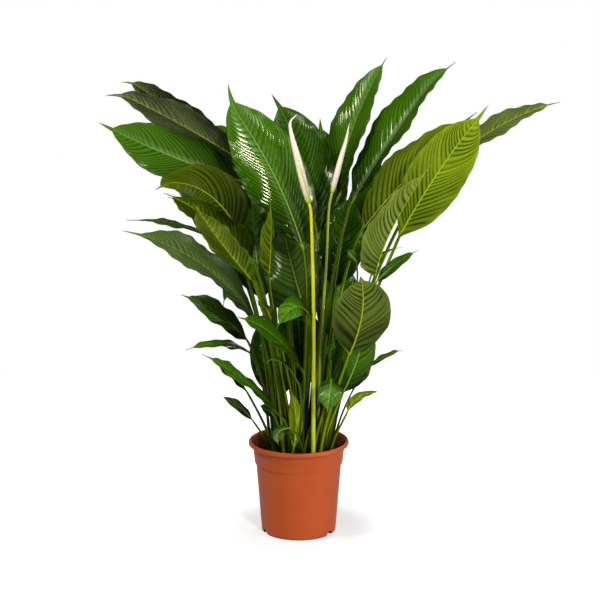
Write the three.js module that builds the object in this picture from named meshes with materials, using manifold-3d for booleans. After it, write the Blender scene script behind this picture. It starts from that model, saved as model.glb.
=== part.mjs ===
// Potted peace lily: a clump of long-stalked leaves and two rolled buds in a round nursery pot.
// Millimetres, +Z up. The origin is the middle of the pot's underside; -Y is the plant's front.
import * as THREE from "three";
import Module from "manifold-3d";
import { mergeVertices } from "three/addons/utils/BufferGeometryUtils.js";

const wasm = await Module();
wasm.setup();

// ---------------------------------------------------------------- driving dimensions

const GAP = 0.3;

const RIM_RADIUS = 105;
const RIM_TOP = 196;
const RIM_INNER_RADIUS = 98.5;
const COLLAR_TOP = 185.5;
const COLLAR_TOP_RADIUS = 96;
const COLLAR_FOOT = 149;
const COLLAR_FOOT_RADIUS = 92.2;
const WALL_TOP_RADIUS = 89.2;
const POT_FOOT_RADIUS = 78;
const WALL = 2.2;
const FLOOR = 3;
const POT_SIDES = 36;
const NOTCH_ANGLES = [-154, -34, 86];
const NOTCH_WIDTH = 20;
const NOTCH_HEIGHT = 10;
const NOTCH_DEPTH = 9;

const SOIL_TOP = 170;
const SOIL_SIDES = 24;
const SOIL_RELIEF = 1.5;
const HOLE_DEPTH = 22;

// stem places on the soil follow a sunflower spiral
const SPIRAL_RADIUS = 76;
const SPIRAL_TURN = THREE.MathUtils.degToRad(137.508);
const FAN_DEPTH = 120;
const SPARE_PLACES = 8;
const BUD_CLEARANCE = 12;

// a stem is straight from its hole to a little above the soil, then bows over to its blade
const STEM_RISE = 5;
const HOLE_GAP = 0.4;
const LEAVING_REACH = 0.3;
const ARRIVING_REACH = 0.25;

// blade outline and section
const BODY_POWER = 2.2;
const BODY_ROUNDNESS = 0.75;
const DRIP_WIDTH = 0.16;
const DRIP_LENGTH = 0.16;
const VEIN_SWEEP = 0.34;
const VEIN_BEND = 1.5;
const COLUMNS = [-1, -0.5, -0.07, 0, 0.07, 0.5, 1];
const BLADE_THICKNESS = 0.8;
const WAVE_COUNT = 2.6;
const WAVE_SHARE = 0.035;
const WAVE_SHIFT = 1.3;
const HOOK_START = 0.8;
const KEEL_SHARE = 0.8;
const ROW_EASE = 0.4;

// for each size of leaf: stalk radius at the soil and at the blade, rings along blade and stalk
const LARGE = { footRadius: 5, neckRadius: 3, bladeSteps: 8, stalkSteps: 4 };
const MIDDLE = { footRadius: 4, neckRadius: 2.3, bladeSteps: 6, stalkSteps: 4 };
const SMALL = { footRadius: 2.7, neckRadius: 1.6, bladeSteps: 4, stalkSteps: 3 };

const LEAF_ROUGHNESS = 0.35;
const BUD_ROUGHNESS = 0.5;
const POT_ROUGHNESS = 0.5;
const SOIL_ROUGHNESS = 0.95;
const LEAF_GREEN = "#2f5d14";
const UNDER_GREEN = "#6c8a1c";
const STALK_YELLOW = "#c8cc14";
const STALK_OLIVE = "#a3a81d";
const SPATHE_WHITE = "#efe6d8";
const TERRACOTTA = "#b24f24";
const PEAT = "#2b1c14";

// ---------------------------------------------------------------- the leaves

// What most blades share: fold and curl are the degrees that each half rises at the midrib and
// bends on its way to the margin. skew folds the right half up by more than the left one. hook
// bends the tip, and bodyEnd is where along the midrib the body gives way to the drip tip.
const USUAL = { fold: 18, curl: -14, skew: 0, hook: [0, 0, 0], bodyEnd: 0.9, color: LEAF_GREEN };

// base, middle and tip are points on the midrib, and the glossy upper side looks to face.
function leaf(name, size, base, middle, tip, width, face, options = {}) {
  return { name, size, base, middle, tip, width, face, faceTip: face, ...USUAL, ...options };
}

const LEAVES = [
  leaf("leaf_left_01", LARGE, [-105, 95, 738], [-240, 75, 861], [-365, 50, 952], 104, [0.3, 0.62, 0.75],
    { hook: [5, 0, -17] }),
  leaf("leaf_left_02", LARGE, [-100, 20, 770], [-240, 10, 855], [-390, 20, 930], 112, [0.3, 0.68, 0.66],
    { hook: [0, 0, -20] }),
  leaf("leaf_left_03", MIDDLE, [-100, 150, 690], [-135, 175, 780], [-195, 180, 840], 80, [0.2, -0.6, 0.8]),
  leaf("leaf_left_04", LARGE, [-105, 10, 735], [-260, -20, 795], [-395, -60, 865], 122, [-0.2, -0.7, 0.7]),
  leaf("leaf_left_05", LARGE, [-110, -40, 620], [-180, -105, 730], [-275, -180, 760], 130, [-0.1, 0.9, 0.1],
    { faceTip: [0, 0.3, -1.0], fold: 10, curl: -4, hook: [0, 0, -12], bodyEnd: 0.95 }),
  leaf("leaf_left_06", LARGE, [-90, -120, 595], [-170, -180, 690], [-255, -230, 750], 95, [0, 0.4, 0.9]),
  leaf("leaf_left_07", LARGE, [-90, -130, 560], [-150, -215, 655], [-195, -270, 735], 85, [0.2, 0.35, 0.9],
    { color: UNDER_GREEN }),
  leaf("leaf_left_08", MIDDLE, [-60, -70, 560], [-55, -100, 635], [-55, -120, 715], 52, [-0.8, 0.5, 0.2],
    { fold: 35 }),
  leaf("leaf_left_09", LARGE, [-130, -20, 600], [-230, -60, 655], [-345, -60, 670], 72, [0.15, 0, 1]),
  leaf("leaf_left_10", LARGE, [-80, -92, 455], [-188, -142, 593], [-340, -175, 668], 128, [0.1, -0.25, 1],
    { fold: 24, skew: 6 }),
  leaf("leaf_left_11", MIDDLE, [-104, -66, 424], [-165, -88, 486], [-235, -100, 526], 74, [-0.1, -0.4, 0.9]),
  leaf("leaf_left_12", LARGE, [-75, 20, 490], [-90, 50, 600], [-100, 85, 720], 105, [0, -0.9, 0.4]),
  leaf("leaf_left_13", MIDDLE, [-100, -50, 395], [-160, -60, 415], [-230, -70, 405], 50, [0, -0.1, 1]),
  leaf("leaf_left_14", MIDDLE, [-30, -110, 270], [-110, -150, 362], [-190, -170, 421], 72, [0.1, -0.2, 1]),
  leaf("leaf_left_15", MIDDLE, [-105, -80, 320], [-138, -100, 365], [-180, -110, 402], 40, [0.1, -0.4, 1]),
  leaf("leaf_left_16", SMALL, [-95, -60, 255], [-125, -70, 288], [-160, -75, 310], 30, [0.2, -0.5, 1]),
  leaf("leaf_left_17", MIDDLE, [-120, -30, 580], [-140, -35, 550], [-155, -15, 480], 60, [-0.6, -0.4, 0.5]),
  leaf("leaf_mid_01", MIDDLE, [10, -120, 370], [-50, -170, 460], [-120, -190, 500], 85, [0.2, -0.35, 0.9]),
  leaf("leaf_mid_02", SMALL, [0, -150, 355], [-35, -160, 405], [-65, -165, 400], 18, [0, -0.2, 1]),
  leaf("leaf_mid_03", SMALL, [20, -95, 485], [-10, -125, 505], [-45, -145, 465], 50, [0, -0.75, 0.65]),
  leaf("leaf_mid_04", LARGE, [20, -20, 450], [-10, 0, 550], [-35, 20, 655], 125, [0.1, -0.9, 0.35]),
  leaf("leaf_mid_05", LARGE, [10, -70, 610], [-57, -50, 775], [-160, -30, 930], 132, [-0.05, -0.92, 0.38],
    { hook: [20, 0, 10] }),
  leaf("leaf_mid_06", LARGE, [40, 40, 610], [5, 60, 775], [-50, 60, 905], 125, [0.05, -0.92, 0.35],
    { hook: [-6, 0, 6] }),
  leaf("leaf_mid_07", LARGE, [55, 75, 615], [50, 120, 735], [45, 170, 850], 105, [0.1, -0.9, 0.3]),
  leaf("leaf_mid_08", SMALL, [65, -50, 375], [65, -75, 405], [75, -75, 425], 20, [0, -0.9, 0.3]),
  leaf("leaf_mid_09", LARGE, [75, 35, 510], [90, 45, 610], [110, 60, 715], 95, [0.2, -0.85, 0.4]),
  leaf("leaf_mid_10", SMALL, [-50, -100, 275], [-65, -105, 290], [-80, -110, 300], 24, [0, -0.6, 0.8]),
  leaf("leaf_mid_11", SMALL, [-15, -120, 255], [-40, -135, 250], [-40, -140, 225], 26, [0, -0.6, 0.8]),
  leaf("leaf_mid_12", SMALL, [-10, -80, 200], [-6, -75, 265], [-18, -108, 335], 28, [0, 1, 0],
    { color: UNDER_GREEN }),
  leaf("leaf_mid_13", SMALL, [-55, -90, 470], [-65, -95, 495], [-85, -100, 515], 28, [0, 0.6, 0.8]),
  leaf("leaf_right_01", LARGE, [70, 70, 680], [113, 110, 836], [179, 140, 970], 108, [-0.5, -0.75, 0.3],
    { fold: 28, skew: 16, hook: [4, 0, 10], bodyEnd: 0.95 }),
  leaf("leaf_right_02", LARGE, [108, 20, 690], [205, 40, 843], [303, 50, 972], 142, [-0.45, -0.6, 0.65],
    { fold: 30, skew: 20, hook: [15, 0, 4], bodyEnd: 0.95 }),
  leaf("leaf_right_03", LARGE, [125, -60, 650], [232, -45, 771], [350, -80, 888], 138, [-0.5, 0.75, 0.4],
    { color: UNDER_GREEN, fold: 28, skew: -10 }),
  leaf("leaf_right_04", LARGE, [198, -110, 644], [276, -140, 785], [362, -130, 897], 112, [0.3, 0.9, -0.15],
    { color: UNDER_GREEN, hook: [5, 0, 10] }),
  leaf("leaf_right_05", LARGE, [150, -135, 570], [180, -205, 680], [250, -250, 810], 112, [-0.55, 0.8, 0.3],
    { color: UNDER_GREEN, fold: 35, skew: -22, curl: -8 }),
  leaf("leaf_right_06", LARGE, [255, -40, 750], [390, -60, 855], [515, -60, 905], 88, [-0.25, 0.55, 0.8],
    { color: UNDER_GREEN }),
  leaf("leaf_right_07", SMALL, [155, -110, 555], [190, -120, 590], [235, -130, 622], 28, [0.3, -0.5, 0.8]),
  leaf("leaf_right_08", SMALL, [150, -60, 570], [170, -80, 605], [205, -90, 620], 26, [0, 0.2, 1]),
  leaf("leaf_right_09", LARGE, [100, -120, 405], [125, -160, 505], [118, -165, 585], 116, [-0.1, 0.95, 0.2],
    { hook: [4, 18, -12], color: UNDER_GREEN }),
  leaf("leaf_right_10", MIDDLE, [90, -86, 320], [120, -88, 395], [138, -86, 475], 70, [0.4, -0.8, 0.4]),
  leaf("leaf_right_11", SMALL, [140, -60, 365], [175, -65, 390], [210, -70, 405], 26, [0, -0.2, 1]),
  leaf("leaf_right_12", SMALL, [100, -80, 280], [125, -95, 315], [170, -100, 325], 36, [-0.2, 0.6, 0.75]),
  leaf("leaf_right_13", SMALL, [66, -98, 352], [62, -132, 330], [57, -125, 288], 48, [0.1, -0.8, 0.6]),
  leaf("leaf_right_14", SMALL, [115, -90, 590], [105, -90, 605], [95, -95, 615], 20, [0, -0.9, 0.3]),
  leaf("leaf_back_01", LARGE, [25, 120, 520], [50, 260, 700], [80, 420, 740], 120, [0, -0.3, 1]),
  leaf("leaf_back_02", LARGE, [-30, 130, 560], [-70, 270, 740], [-110, 420, 770], 115, [0, -0.3, 1]),
  leaf("leaf_back_03", LARGE, [-90, 110, 500], [-190, 220, 650], [-300, 330, 690], 115, [0.2, -0.2, 1]),
  leaf("leaf_back_04", LARGE, [80, 110, 520], [180, 230, 690], [280, 340, 750], 115, [-0.2, -0.2, 1]),
  leaf("leaf_back_05", LARGE, [-120, 80, 540], [-200, 130, 640], [-280, 180, 680], 100, [0.3, -0.1, 1]),
  leaf("leaf_back_06", MIDDLE, [72, 52, 395], [84, 78, 480], [92, 96, 570], 92, [0, -0.9, 0.4]),
  leaf("leaf_back_07", LARGE, [0, 190, 420], [10, 295, 525], [30, 400, 540], 110, [0, -0.2, 1]),
  leaf("leaf_back_08", MIDDLE, [-44, 72, 260], [-55, 100, 355], [-78, 112, 450], 100, [0, -0.9, 0.4]),
  leaf("leaf_back_09", MIDDLE, [50, 70, 270], [66, 96, 360], [84, 108, 460], 95, [0, -0.9, 0.4]),
  leaf("leaf_back_10", MIDDLE, [5, 90, 290], [2, 135, 375], [-6, 140, 480], 105, [0, -0.9, 0.4]),
];

// ---------------------------------------------------------------- the buds

// route: points up the stalk, and up the rolled spathe that stands on it
const BUDS = [
  {
    name: "flower_1",
    foot: [30, -66],
    stalkRoute: [[30, -72, 330], [30, -90, 490], [25, -108, 680]],
    footRadius: 4.6,
    neckRadius: 3,
    spatheRoute: [[20, -112, 712], [-2, -116, 800], [-14, -118, 848], [-16, -119, 872], [-2, -120, 888]],
    spatheRadius: 9.5,
    color: STALK_YELLOW,
  },
  {
    name: "flower_2",
    foot: [36, -30],
    stalkRoute: [[46, -34, 420], [56, -36, 575], [60, -36, 680]],
    footRadius: 3.6,
    neckRadius: 2.6,
    spatheRoute: [[67, -36, 722], [83, -36, 785], [94, -36, 825], [101, -36, 862]],
    spatheRadius: 7,
    color: STALK_OLIVE,
  },
];
const STALK_SIDES = 8;
const STALK_STEPS = 8;
const SPATHE_SIDES = 10;
const SPATHE_STEPS = 9;
const SPATHE_SWELL = 0.75;

// ---------------------------------------------------------------- meshes from rings

const UP = new THREE.Vector3(0, 0, 1);

function vector(list) {
  return new THREE.Vector3(...list);
}

// A closed surface through rings with the same number of points, clockwise looking along the loft.
// leansForward tells for each side which way its four-cornered cells are split. Points that
// coincide are joined, and the last ring may be a single point.
function loftGeometry(rings, leansForward) {
  const count = rings[0].length;
  const lastRing = rings.length - 1;
  const closesInPoint = rings[lastRing].length === 1;
  const places = [];
  const numbers = new Map();
  const numberOf = (point) => {
    const key = point.toArray().map((value) => value.toFixed(4)).join(" ");
    if (!numbers.has(key)) {
      numbers.set(key, places.length / 3);
      places.push(point.x, point.y, point.z);
    }
    return numbers.get(key);
  };
  const grid = rings.map((ring) => ring.map(numberOf));
  const faces = [];
  const addFace = (a, b, c) => {
    if (a !== b && b !== c && c !== a) faces.push(a, b, c);
  };
  for (let row = 0; row < lastRing; row += 1) {
    for (let side = 0; side < count; side += 1) {
      const next = (side + 1) % count;
      const a = grid[row][side];
      const b = grid[row][next];
      if (closesInPoint && row === lastRing - 1) {
        addFace(a, b, grid[lastRing][0]);
        continue;
      }
      const c = grid[row + 1][next];
      const d = grid[row + 1][side];
      if (leansForward(side)) {
        addFace(a, b, c);
        addFace(a, c, d);
      } else {
        addFace(a, b, d);
        addFace(b, c, d);
      }
    }
  }
  capRing(grid[0], (a, b, c) => addFace(a, c, b));
  if (!closesInPoint) capRing(grid[lastRing], addFace);
  const geometry = new THREE.BufferGeometry();
  geometry.setAttribute("position", new THREE.Float32BufferAttribute(places, 3));
  geometry.setIndex(faces);
  return geometry;
}

function capRing(ring, addFace) {
  const corners = ring.filter((corner, index) => corner !== ring[(index + 1) % ring.length]);
  for (let index = 1; index < corners.length - 1; index += 1) {
    addFace(corners[0], corners[index], corners[index + 1]);
  }
}

// The axes across a curve, carried from one tangent to the next without twisting
function carryAxis(axis, tangent) {
  return axis.clone().addScaledVector(tangent, -axis.dot(tangent)).normalize();
}

function roundRing(center, side, normal, radius, sides) {
  const ring = [];
  for (let index = 0; index < sides; index += 1) {
    const angle = Math.PI - (index * 2 * Math.PI) / sides;
    ring.push(center.clone()
      .addScaledVector(side, radius * Math.cos(angle))
      .addScaledVector(normal, radius * Math.sin(angle)));
  }
  return ring;
}

// ---------------------------------------------------------------- leaf blade

function midribPoint(blade, station) {
  const base = vector(blade.base);
  const tip = vector(blade.tip);
  const control = vector(blade.middle).multiplyScalar(2);
  control.addScaledVector(base, -0.5).addScaledVector(tip, -0.5);
  const rest = 1 - station;
  const inHook = Math.max(0, (station - HOOK_START) / (1 - HOOK_START));
  return base.multiplyScalar(rest * rest)
    .addScaledVector(control, 2 * rest * station)
    .addScaledVector(tip, station * station)
    .addScaledVector(vector(blade.hook), inHook ** 2);
}

function midribTangent(blade, station) {
  const step = 0.001;
  return midribPoint(blade, station + step).sub(midribPoint(blade, station - step)).normalize();
}

// Half width of the blade at a station, as a part of its greatest half width: a full body and a drip tip
function outline(blade, station) {
  const inBody = Math.abs((2 * station) / blade.bodyEnd - 1);
  const body = inBody < 1 ? Math.pow(1 - Math.pow(inBody, BODY_POWER), BODY_ROUNDNESS) : 0;
  const drip = DRIP_WIDTH * station * station * Math.min(1, (1 - station) / DRIP_LENGTH);
  return Math.cbrt(body ** 3 + drip ** 3);
}

// A side vein leaves the midrib at row and reaches this station at across (0 midrib, 1 margin)
function veinStation(blade, row, across) {
  const rest = Math.max(0, 1 - row / blade.bodyEnd);
  const rise = 1 - (1 - row) ** 3;
  return row + VEIN_SWEEP * rest * rise * Math.abs(across) ** VEIN_BEND;
}

function bladeFrame(blade, station) {
  const tangent = midribTangent(blade, station);
  const face = vector(blade.face).lerp(vector(blade.faceTip), station);
  const side = tangent.clone().cross(face).normalize();
  const normal = side.clone().cross(tangent);
  return { side, normal };
}

// across runs from -1 at the left margin over 0 at the midrib to 1 at the right margin
function bladePoint(blade, row, across) {
  const station = veinStation(blade, row, across);
  const { side, normal } = bladeFrame(blade, station);
  const share = outline(blade, station);
  const halfWidth = (blade.width / 2) * share;
  const hand = Math.sign(across);
  const reach = Math.abs(across);
  const slope = THREE.MathUtils.degToRad(blade.fold + blade.skew * hand + blade.curl * reach);
  const phase = 2 * Math.PI * WAVE_COUNT * station + hand * WAVE_SHIFT + blade.base[0];
  const wave = WAVE_SHARE * blade.width * share * reach ** 2 * Math.sin(phase);
  return midribPoint(blade, station)
    .addScaledVector(side, hand * halfWidth * reach * Math.cos(slope))
    .addScaledVector(normal, halfWidth * reach * Math.sin(slope) + wave);
}

// Square to the blade's section, and straight up at the midrib, where both halves meet
function bladeNormal(blade, row, across) {
  const { side, normal } = bladeFrame(blade, veinStation(blade, row, across));
  const degrees = blade.fold + blade.skew * Math.sign(across) + 2 * blade.curl * Math.abs(across);
  const slope = THREE.MathUtils.degToRad(degrees);
  const lean = Math.tan(slope) * Math.max(-1, Math.min(1, 2 * across));
  return normal.addScaledVector(side, -lean).normalize();
}

// Upper face from the left margin to the right one, then the lower face back, with the midrib as a keel
function bladeRing(blade, row) {
  const keel = blade.size.neckRadius * (1 - row) * KEEL_SHARE;
  const upper = [];
  const lower = [];
  for (const across of COLUMNS) {
    const point = bladePoint(blade, row, across);
    const normal = bladeNormal(blade, row, across);
    const depth = BLADE_THICKNESS / 2 + (across === 0 ? keel : 0);
    upper.push(point.clone().addScaledVector(normal, BLADE_THICKNESS / 2));
    lower.unshift(point.clone().addScaledVector(normal, -depth));
  }
  return [...upper, ...lower];
}

// ---------------------------------------------------------------- leaf stalk

// Hexagon corners of a stalk, each used for the columns of the blade ring that grow out of it
const STALK_CORNERS = [150, 150, 90, 90, 90, 30, 30, -30, -30, -90, -90, -90, -150, -150];

function stalkRing(center, side, normal, radius) {
  return STALK_CORNERS.map((degrees) => {
    const angle = THREE.MathUtils.degToRad(degrees);
    return center.clone()
      .addScaledVector(side, radius * Math.cos(angle))
      .addScaledVector(normal, radius * Math.sin(angle));
  });
}

function stalkCurve(blade) {
  const start = new THREE.Vector3(...blade.foot, SOIL_TOP + STEM_RISE);
  const end = vector(blade.base);
  const chord = end.clone().sub(start);
  const reach = chord.length();
  chord.normalize();
  const leaving = UP.clone().multiplyScalar(2).add(chord).normalize();
  const arriving = midribTangent(blade, 0.01).add(chord).normalize();
  const first = start.clone().addScaledVector(leaving, reach * LEAVING_REACH);
  const second = end.clone().addScaledVector(arriving, -reach * ARRIVING_REACH);
  return new THREE.CubicBezierCurve3(start, first, second, end);
}

// The upright stretch from the bottom of a stem's hole to the ring where the stem starts to bow
function withStraightFoot(rings) {
  const down = STEM_RISE + HOLE_DEPTH - GAP;
  return [rings[0].map((point) => point.clone().addScaledVector(UP, -down)), ...rings];
}

function stalkRings(blade) {
  const curve = stalkCurve(blade);
  const { footRadius, neckRadius, stalkSteps } = blade.size;
  const rings = [];
  let side = bladeFrame(blade, 0.01).side;
  for (let step = stalkSteps; step >= 0; step -= 1) {
    const along = step / stalkSteps;
    const tangent = step === 0 ? UP : curve.getTangent(along);
    side = carryAxis(side, tangent);
    const normal = side.clone().cross(tangent);
    const radius = footRadius + (neckRadius - footRadius) * along;
    rings.unshift(stalkRing(curve.getPoint(along), side, normal, radius));
  }
  return withStraightFoot(rings);
}

// Rows from the base to the end of the body, closing up towards both
function bladeRows(blade) {
  const rows = [];
  const steps = blade.size.bladeSteps - 1;
  for (let step = 1; step <= steps; step += 1) {
    const share = step / steps;
    const eased = share - (ROW_EASE * Math.sin(2 * Math.PI * share)) / (2 * Math.PI);
    rows.push(blade.bodyEnd * eased);
  }
  return rows;
}

function leafGeometry(blade) {
  const rings = stalkRings(blade);
  for (const row of bladeRows(blade)) rings.push(bladeRing(blade, row));
  rings.push([midribPoint(blade, 1)]);
  const half = COLUMNS.length - 1;
  const rightHalfAbove = (side) => side >= half / 2 && side < half;
  const leftHalfBelow = (side) => side > half + half / 2 && side <= 2 * half;
  return loftGeometry(rings, (side) => rightHalfAbove(side) || leftHalfBelow(side));
}

// ---------------------------------------------------------------- buds

// Rings along a curve; the first and the last stand square to the tangents given for them
function tubeRings(curve, steps, sides, radiusAt, firstTangent, lastTangent) {
  const rings = [];
  let side = new THREE.Vector3(1, 0, 0);
  for (let step = 0; step <= steps; step += 1) {
    const along = step / steps;
    let tangent = curve.getTangent(along);
    if (step === 0) tangent = firstTangent;
    if (step === steps) tangent = lastTangent;
    side = carryAxis(side, tangent);
    const normal = side.clone().cross(tangent);
    rings.push(roundRing(curve.getPoint(along), side, normal, radiusAt(along), sides));
  }
  return rings;
}

function spatheCurve(bud) {
  return new THREE.CatmullRomCurve3(bud.spatheRoute.map(vector));
}

// The stalk ends square below the spathe that stands on it
function budStalkRings(bud) {
  const seat = spatheCurve(bud);
  const seatTangent = seat.getTangent(0);
  const start = new THREE.Vector3(...bud.foot, SOIL_TOP + STEM_RISE);
  const end = seat.getPoint(0).addScaledVector(seatTangent, -GAP);
  const curve = new THREE.CatmullRomCurve3([start, ...bud.stalkRoute.map(vector), end]);
  const radiusAt = (along) => bud.footRadius + (bud.neckRadius - bud.footRadius) * along;
  return withStraightFoot(tubeRings(curve, STALK_STEPS, STALK_SIDES, radiusAt, UP, seatTangent));
}

// A slender roll that swells above the stalk and closes in a point
function spatheRings(bud) {
  const curve = spatheCurve(bud);
  const swell = (along) => Math.sin(Math.PI * Math.min(1, 0.1 + 0.9 * along ** 0.8)) ** 0.8;
  const radiusAt = (along) => bud.neckRadius * (1 - along) + bud.spatheRadius * swell(along) * SPATHE_SWELL;
  const tangents = [curve.getTangent(0), curve.getTangent(1)];
  const rings = tubeRings(curve, SPATHE_STEPS, SPATHE_SIDES, radiusAt, ...tangents);
  rings[SPATHE_STEPS] = [curve.getPoint(1)];
  return rings;
}

// ---------------------------------------------------------------- pot and soil

function toManifold(geometry) {
  const bare = geometry.clone();
  bare.deleteAttribute("normal");
  bare.deleteAttribute("uv");
  const merged = mergeVertices(bare, 1e-4);
  const mesh = new wasm.Mesh({
    numProp: 3,
    vertProperties: new Float32Array(merged.attributes.position.array),
    triVerts: new Uint32Array(merged.index.array),
  });
  return new wasm.Manifold(mesh);
}

function fromManifold(solid) {
  const mesh = solid.getMesh();
  const geometry = new THREE.BufferGeometry();
  geometry.setAttribute("position", new THREE.Float32BufferAttribute(mesh.vertProperties, 3));
  geometry.setIndex(Array.from(mesh.triVerts));
  return geometry;
}

// A closed outline of [radius, height] pairs turned round the Z axis
function turned(profile, sides) {
  const points = profile.map(([radius, height]) => new THREE.Vector2(radius, height));
  const geometry = new THREE.LatheGeometry(points, sides);
  geometry.rotateX(Math.PI / 2);
  return geometry;
}

function potGeometry() {
  const profile = [
    [0, 0],
    [POT_FOOT_RADIUS - 2, 0],
    [POT_FOOT_RADIUS, 2],
    [WALL_TOP_RADIUS, COLLAR_FOOT - 2],
    [COLLAR_FOOT_RADIUS, COLLAR_FOOT],
    [COLLAR_TOP_RADIUS, COLLAR_TOP],
    [RIM_RADIUS - 3, COLLAR_TOP],
    [RIM_RADIUS - 0.6, COLLAR_TOP + 2],
    [RIM_RADIUS, RIM_TOP - 5],
    [RIM_RADIUS - 1.2, RIM_TOP - 1.6],
    [RIM_RADIUS - 3.4, RIM_TOP],
    [RIM_INNER_RADIUS + 0.8, RIM_TOP - 1.4],
    [RIM_INNER_RADIUS - 1, RIM_TOP - 6],
    [COLLAR_TOP_RADIUS - WALL, COLLAR_TOP - 2],
    [COLLAR_FOOT_RADIUS - WALL, COLLAR_FOOT],
    [WALL_TOP_RADIUS - WALL, COLLAR_FOOT - 3],
    [POT_FOOT_RADIUS - WALL, FLOOR + 2],
    [POT_FOOT_RADIUS - WALL - 2, FLOOR],
    [0, FLOOR],
  ];
  let solid = toManifold(turned(profile, POT_SIDES));
  for (const degrees of NOTCH_ANGLES) {
    const angle = THREE.MathUtils.degToRad(degrees);
    const cutter = new THREE.BoxGeometry(NOTCH_DEPTH, NOTCH_WIDTH, 2 * NOTCH_HEIGHT);
    cutter.translate(POT_FOOT_RADIUS, 0, 0);
    cutter.rotateZ(angle);
    solid = solid.subtract(toManifold(cutter));
  }
  return fromManifold(solid);
}

// The soil's outline keeps a gap to the pot's inner wall, and its top is lumpy
function soilGeometry(holes) {
  const profile = [
    [0, FLOOR + GAP],
    [POT_FOOT_RADIUS - WALL - 2.6, FLOOR + GAP],
    [POT_FOOT_RADIUS - WALL - 0.6, FLOOR + 2.2],
    [WALL_TOP_RADIUS - WALL - 0.6, COLLAR_FOOT - 3],
    [COLLAR_FOOT_RADIUS - WALL - 0.6, COLLAR_FOOT + 0.4],
    [COLLAR_FOOT_RADIUS - WALL + 1.4, SOIL_TOP],
    [64, SOIL_TOP],
    [34, SOIL_TOP],
    [0, SOIL_TOP],
  ];
  const geometry = turned(profile, SOIL_SIDES);
  const places = geometry.attributes.position;
  for (let index = 0; index < places.count; index += 1) {
    const x = places.getX(index);
    const y = places.getY(index);
    const isTop = places.getZ(index) > SOIL_TOP - 1;
    if (isTop) places.setZ(index, SOIL_TOP + SOIL_RELIEF * Math.sin(x / 9) * Math.cos(y / 11));
  }
  let solid = toManifold(geometry);
  for (const hole of holes) solid = solid.subtract(hole);
  return fromManifold(solid);
}

// A straight hole round a stem's lowest ring, wider by the gap
function stemHole(ring, radius) {
  const center = new THREE.Vector3();
  const corners = ring.filter((point, index) => point.distanceTo(ring[(index + 1) % ring.length]) > 0.01);
  for (const corner of corners) center.add(corner);
  center.divideScalar(corners.length);
  const grown = (radius + HOLE_GAP) / radius;
  const level = (height) => corners.map((corner) => new THREE.Vector3(
    center.x + (corner.x - center.x) * grown,
    center.y + (corner.y - center.y) * grown,
    height,
  ));
  return toManifold(loftGeometry([level(SOIL_TOP - HOLE_DEPTH), level(SOIL_TOP + 20)], () => true));
}

// ---------------------------------------------------------------- assembly

// Where a straight line from below the soil up to the blade passes the soil
function wantedPlace(blade) {
  const lean = FAN_DEPTH / (FAN_DEPTH + blade.base[2] - SOIL_TOP);
  return new THREE.Vector2(blade.base[0], blade.base[1]).multiplyScalar(lean);
}

// Places on a sunflower spiral that keep clear of the buds' stalks
function freePlaces(count, buds) {
  const places = [];
  for (let index = 0; index < count; index += 1) {
    const radius = SPIRAL_RADIUS * Math.sqrt((index + 0.5) / count);
    const angle = index * SPIRAL_TURN;
    const place = new THREE.Vector2(radius * Math.cos(angle), radius * Math.sin(angle));
    const isFree = buds.every(({ foot }) => {
      return Math.hypot(place.x - foot[0], place.y - foot[1]) > BUD_CLEARANCE;
    });
    if (isFree) places.push(place);
  }
  return places;
}

// Each leaf takes the place nearest to the wanted one, and pairs of leaves then swap places
// while that brings them nearer, so that their stalks don't cross.
function chooseFeet(leaves, buds) {
  const places = freePlaces(leaves.length + SPARE_PLACES, buds);
  const wanted = leaves.map(wantedPlace);
  const feet = wanted.map((spot) => {
    places.sort((one, other) => one.distanceTo(spot) - other.distanceTo(spot));
    return places.shift();
  });
  const cost = (leafIndex, footIndex) => wanted[leafIndex].distanceToSquared(feet[footIndex]);
  let swapped = true;
  while (swapped) {
    swapped = false;
    for (let one = 0; one < leaves.length; one += 1) {
      for (let other = 0; other < one; other += 1) {
        if (cost(one, other) + cost(other, one) < cost(one, one) + cost(other, other) - 0.001) {
          [feet[one], feet[other]] = [feet[other], feet[one]];
          swapped = true;
        }
      }
    }
  }
  leaves.forEach((blade, index) => {
    blade.foot = feet[index].toArray();
  });
}

function addMesh(group, name, geometry, color, roughness) {
  const material = new THREE.MeshStandardMaterial({ color, roughness, metalness: 0 });
  const mesh = new THREE.Mesh(geometry, material);
  mesh.name = name;
  group.add(mesh);
}

function buildPlant() {
  const plant = new THREE.Group();
  const holes = [];
  chooseFeet(LEAVES, BUDS);
  for (const blade of LEAVES) {
    holes.push(stemHole(stalkRings(blade)[0], blade.size.footRadius));
    addMesh(plant, blade.name, leafGeometry(blade), blade.color, LEAF_ROUGHNESS);
  }
  for (const bud of BUDS) {
    const stalk = budStalkRings(bud);
    const spathe = spatheRings(bud);
    holes.push(stemHole(stalk[0], bud.footRadius));
    addMesh(plant, `${bud.name}_stalk`, loftGeometry(stalk, () => true), bud.color, BUD_ROUGHNESS);
    addMesh(plant, `${bud.name}_spathe`, loftGeometry(spathe, () => true), SPATHE_WHITE, BUD_ROUGHNESS);
  }
  addMesh(plant, "pot", potGeometry(), TERRACOTTA, POT_ROUGHNESS);
  addMesh(plant, "soil", soilGeometry(holes), PEAT, SOIL_ROUGHNESS);
  return plant;
}

export default buildPlant();
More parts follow.
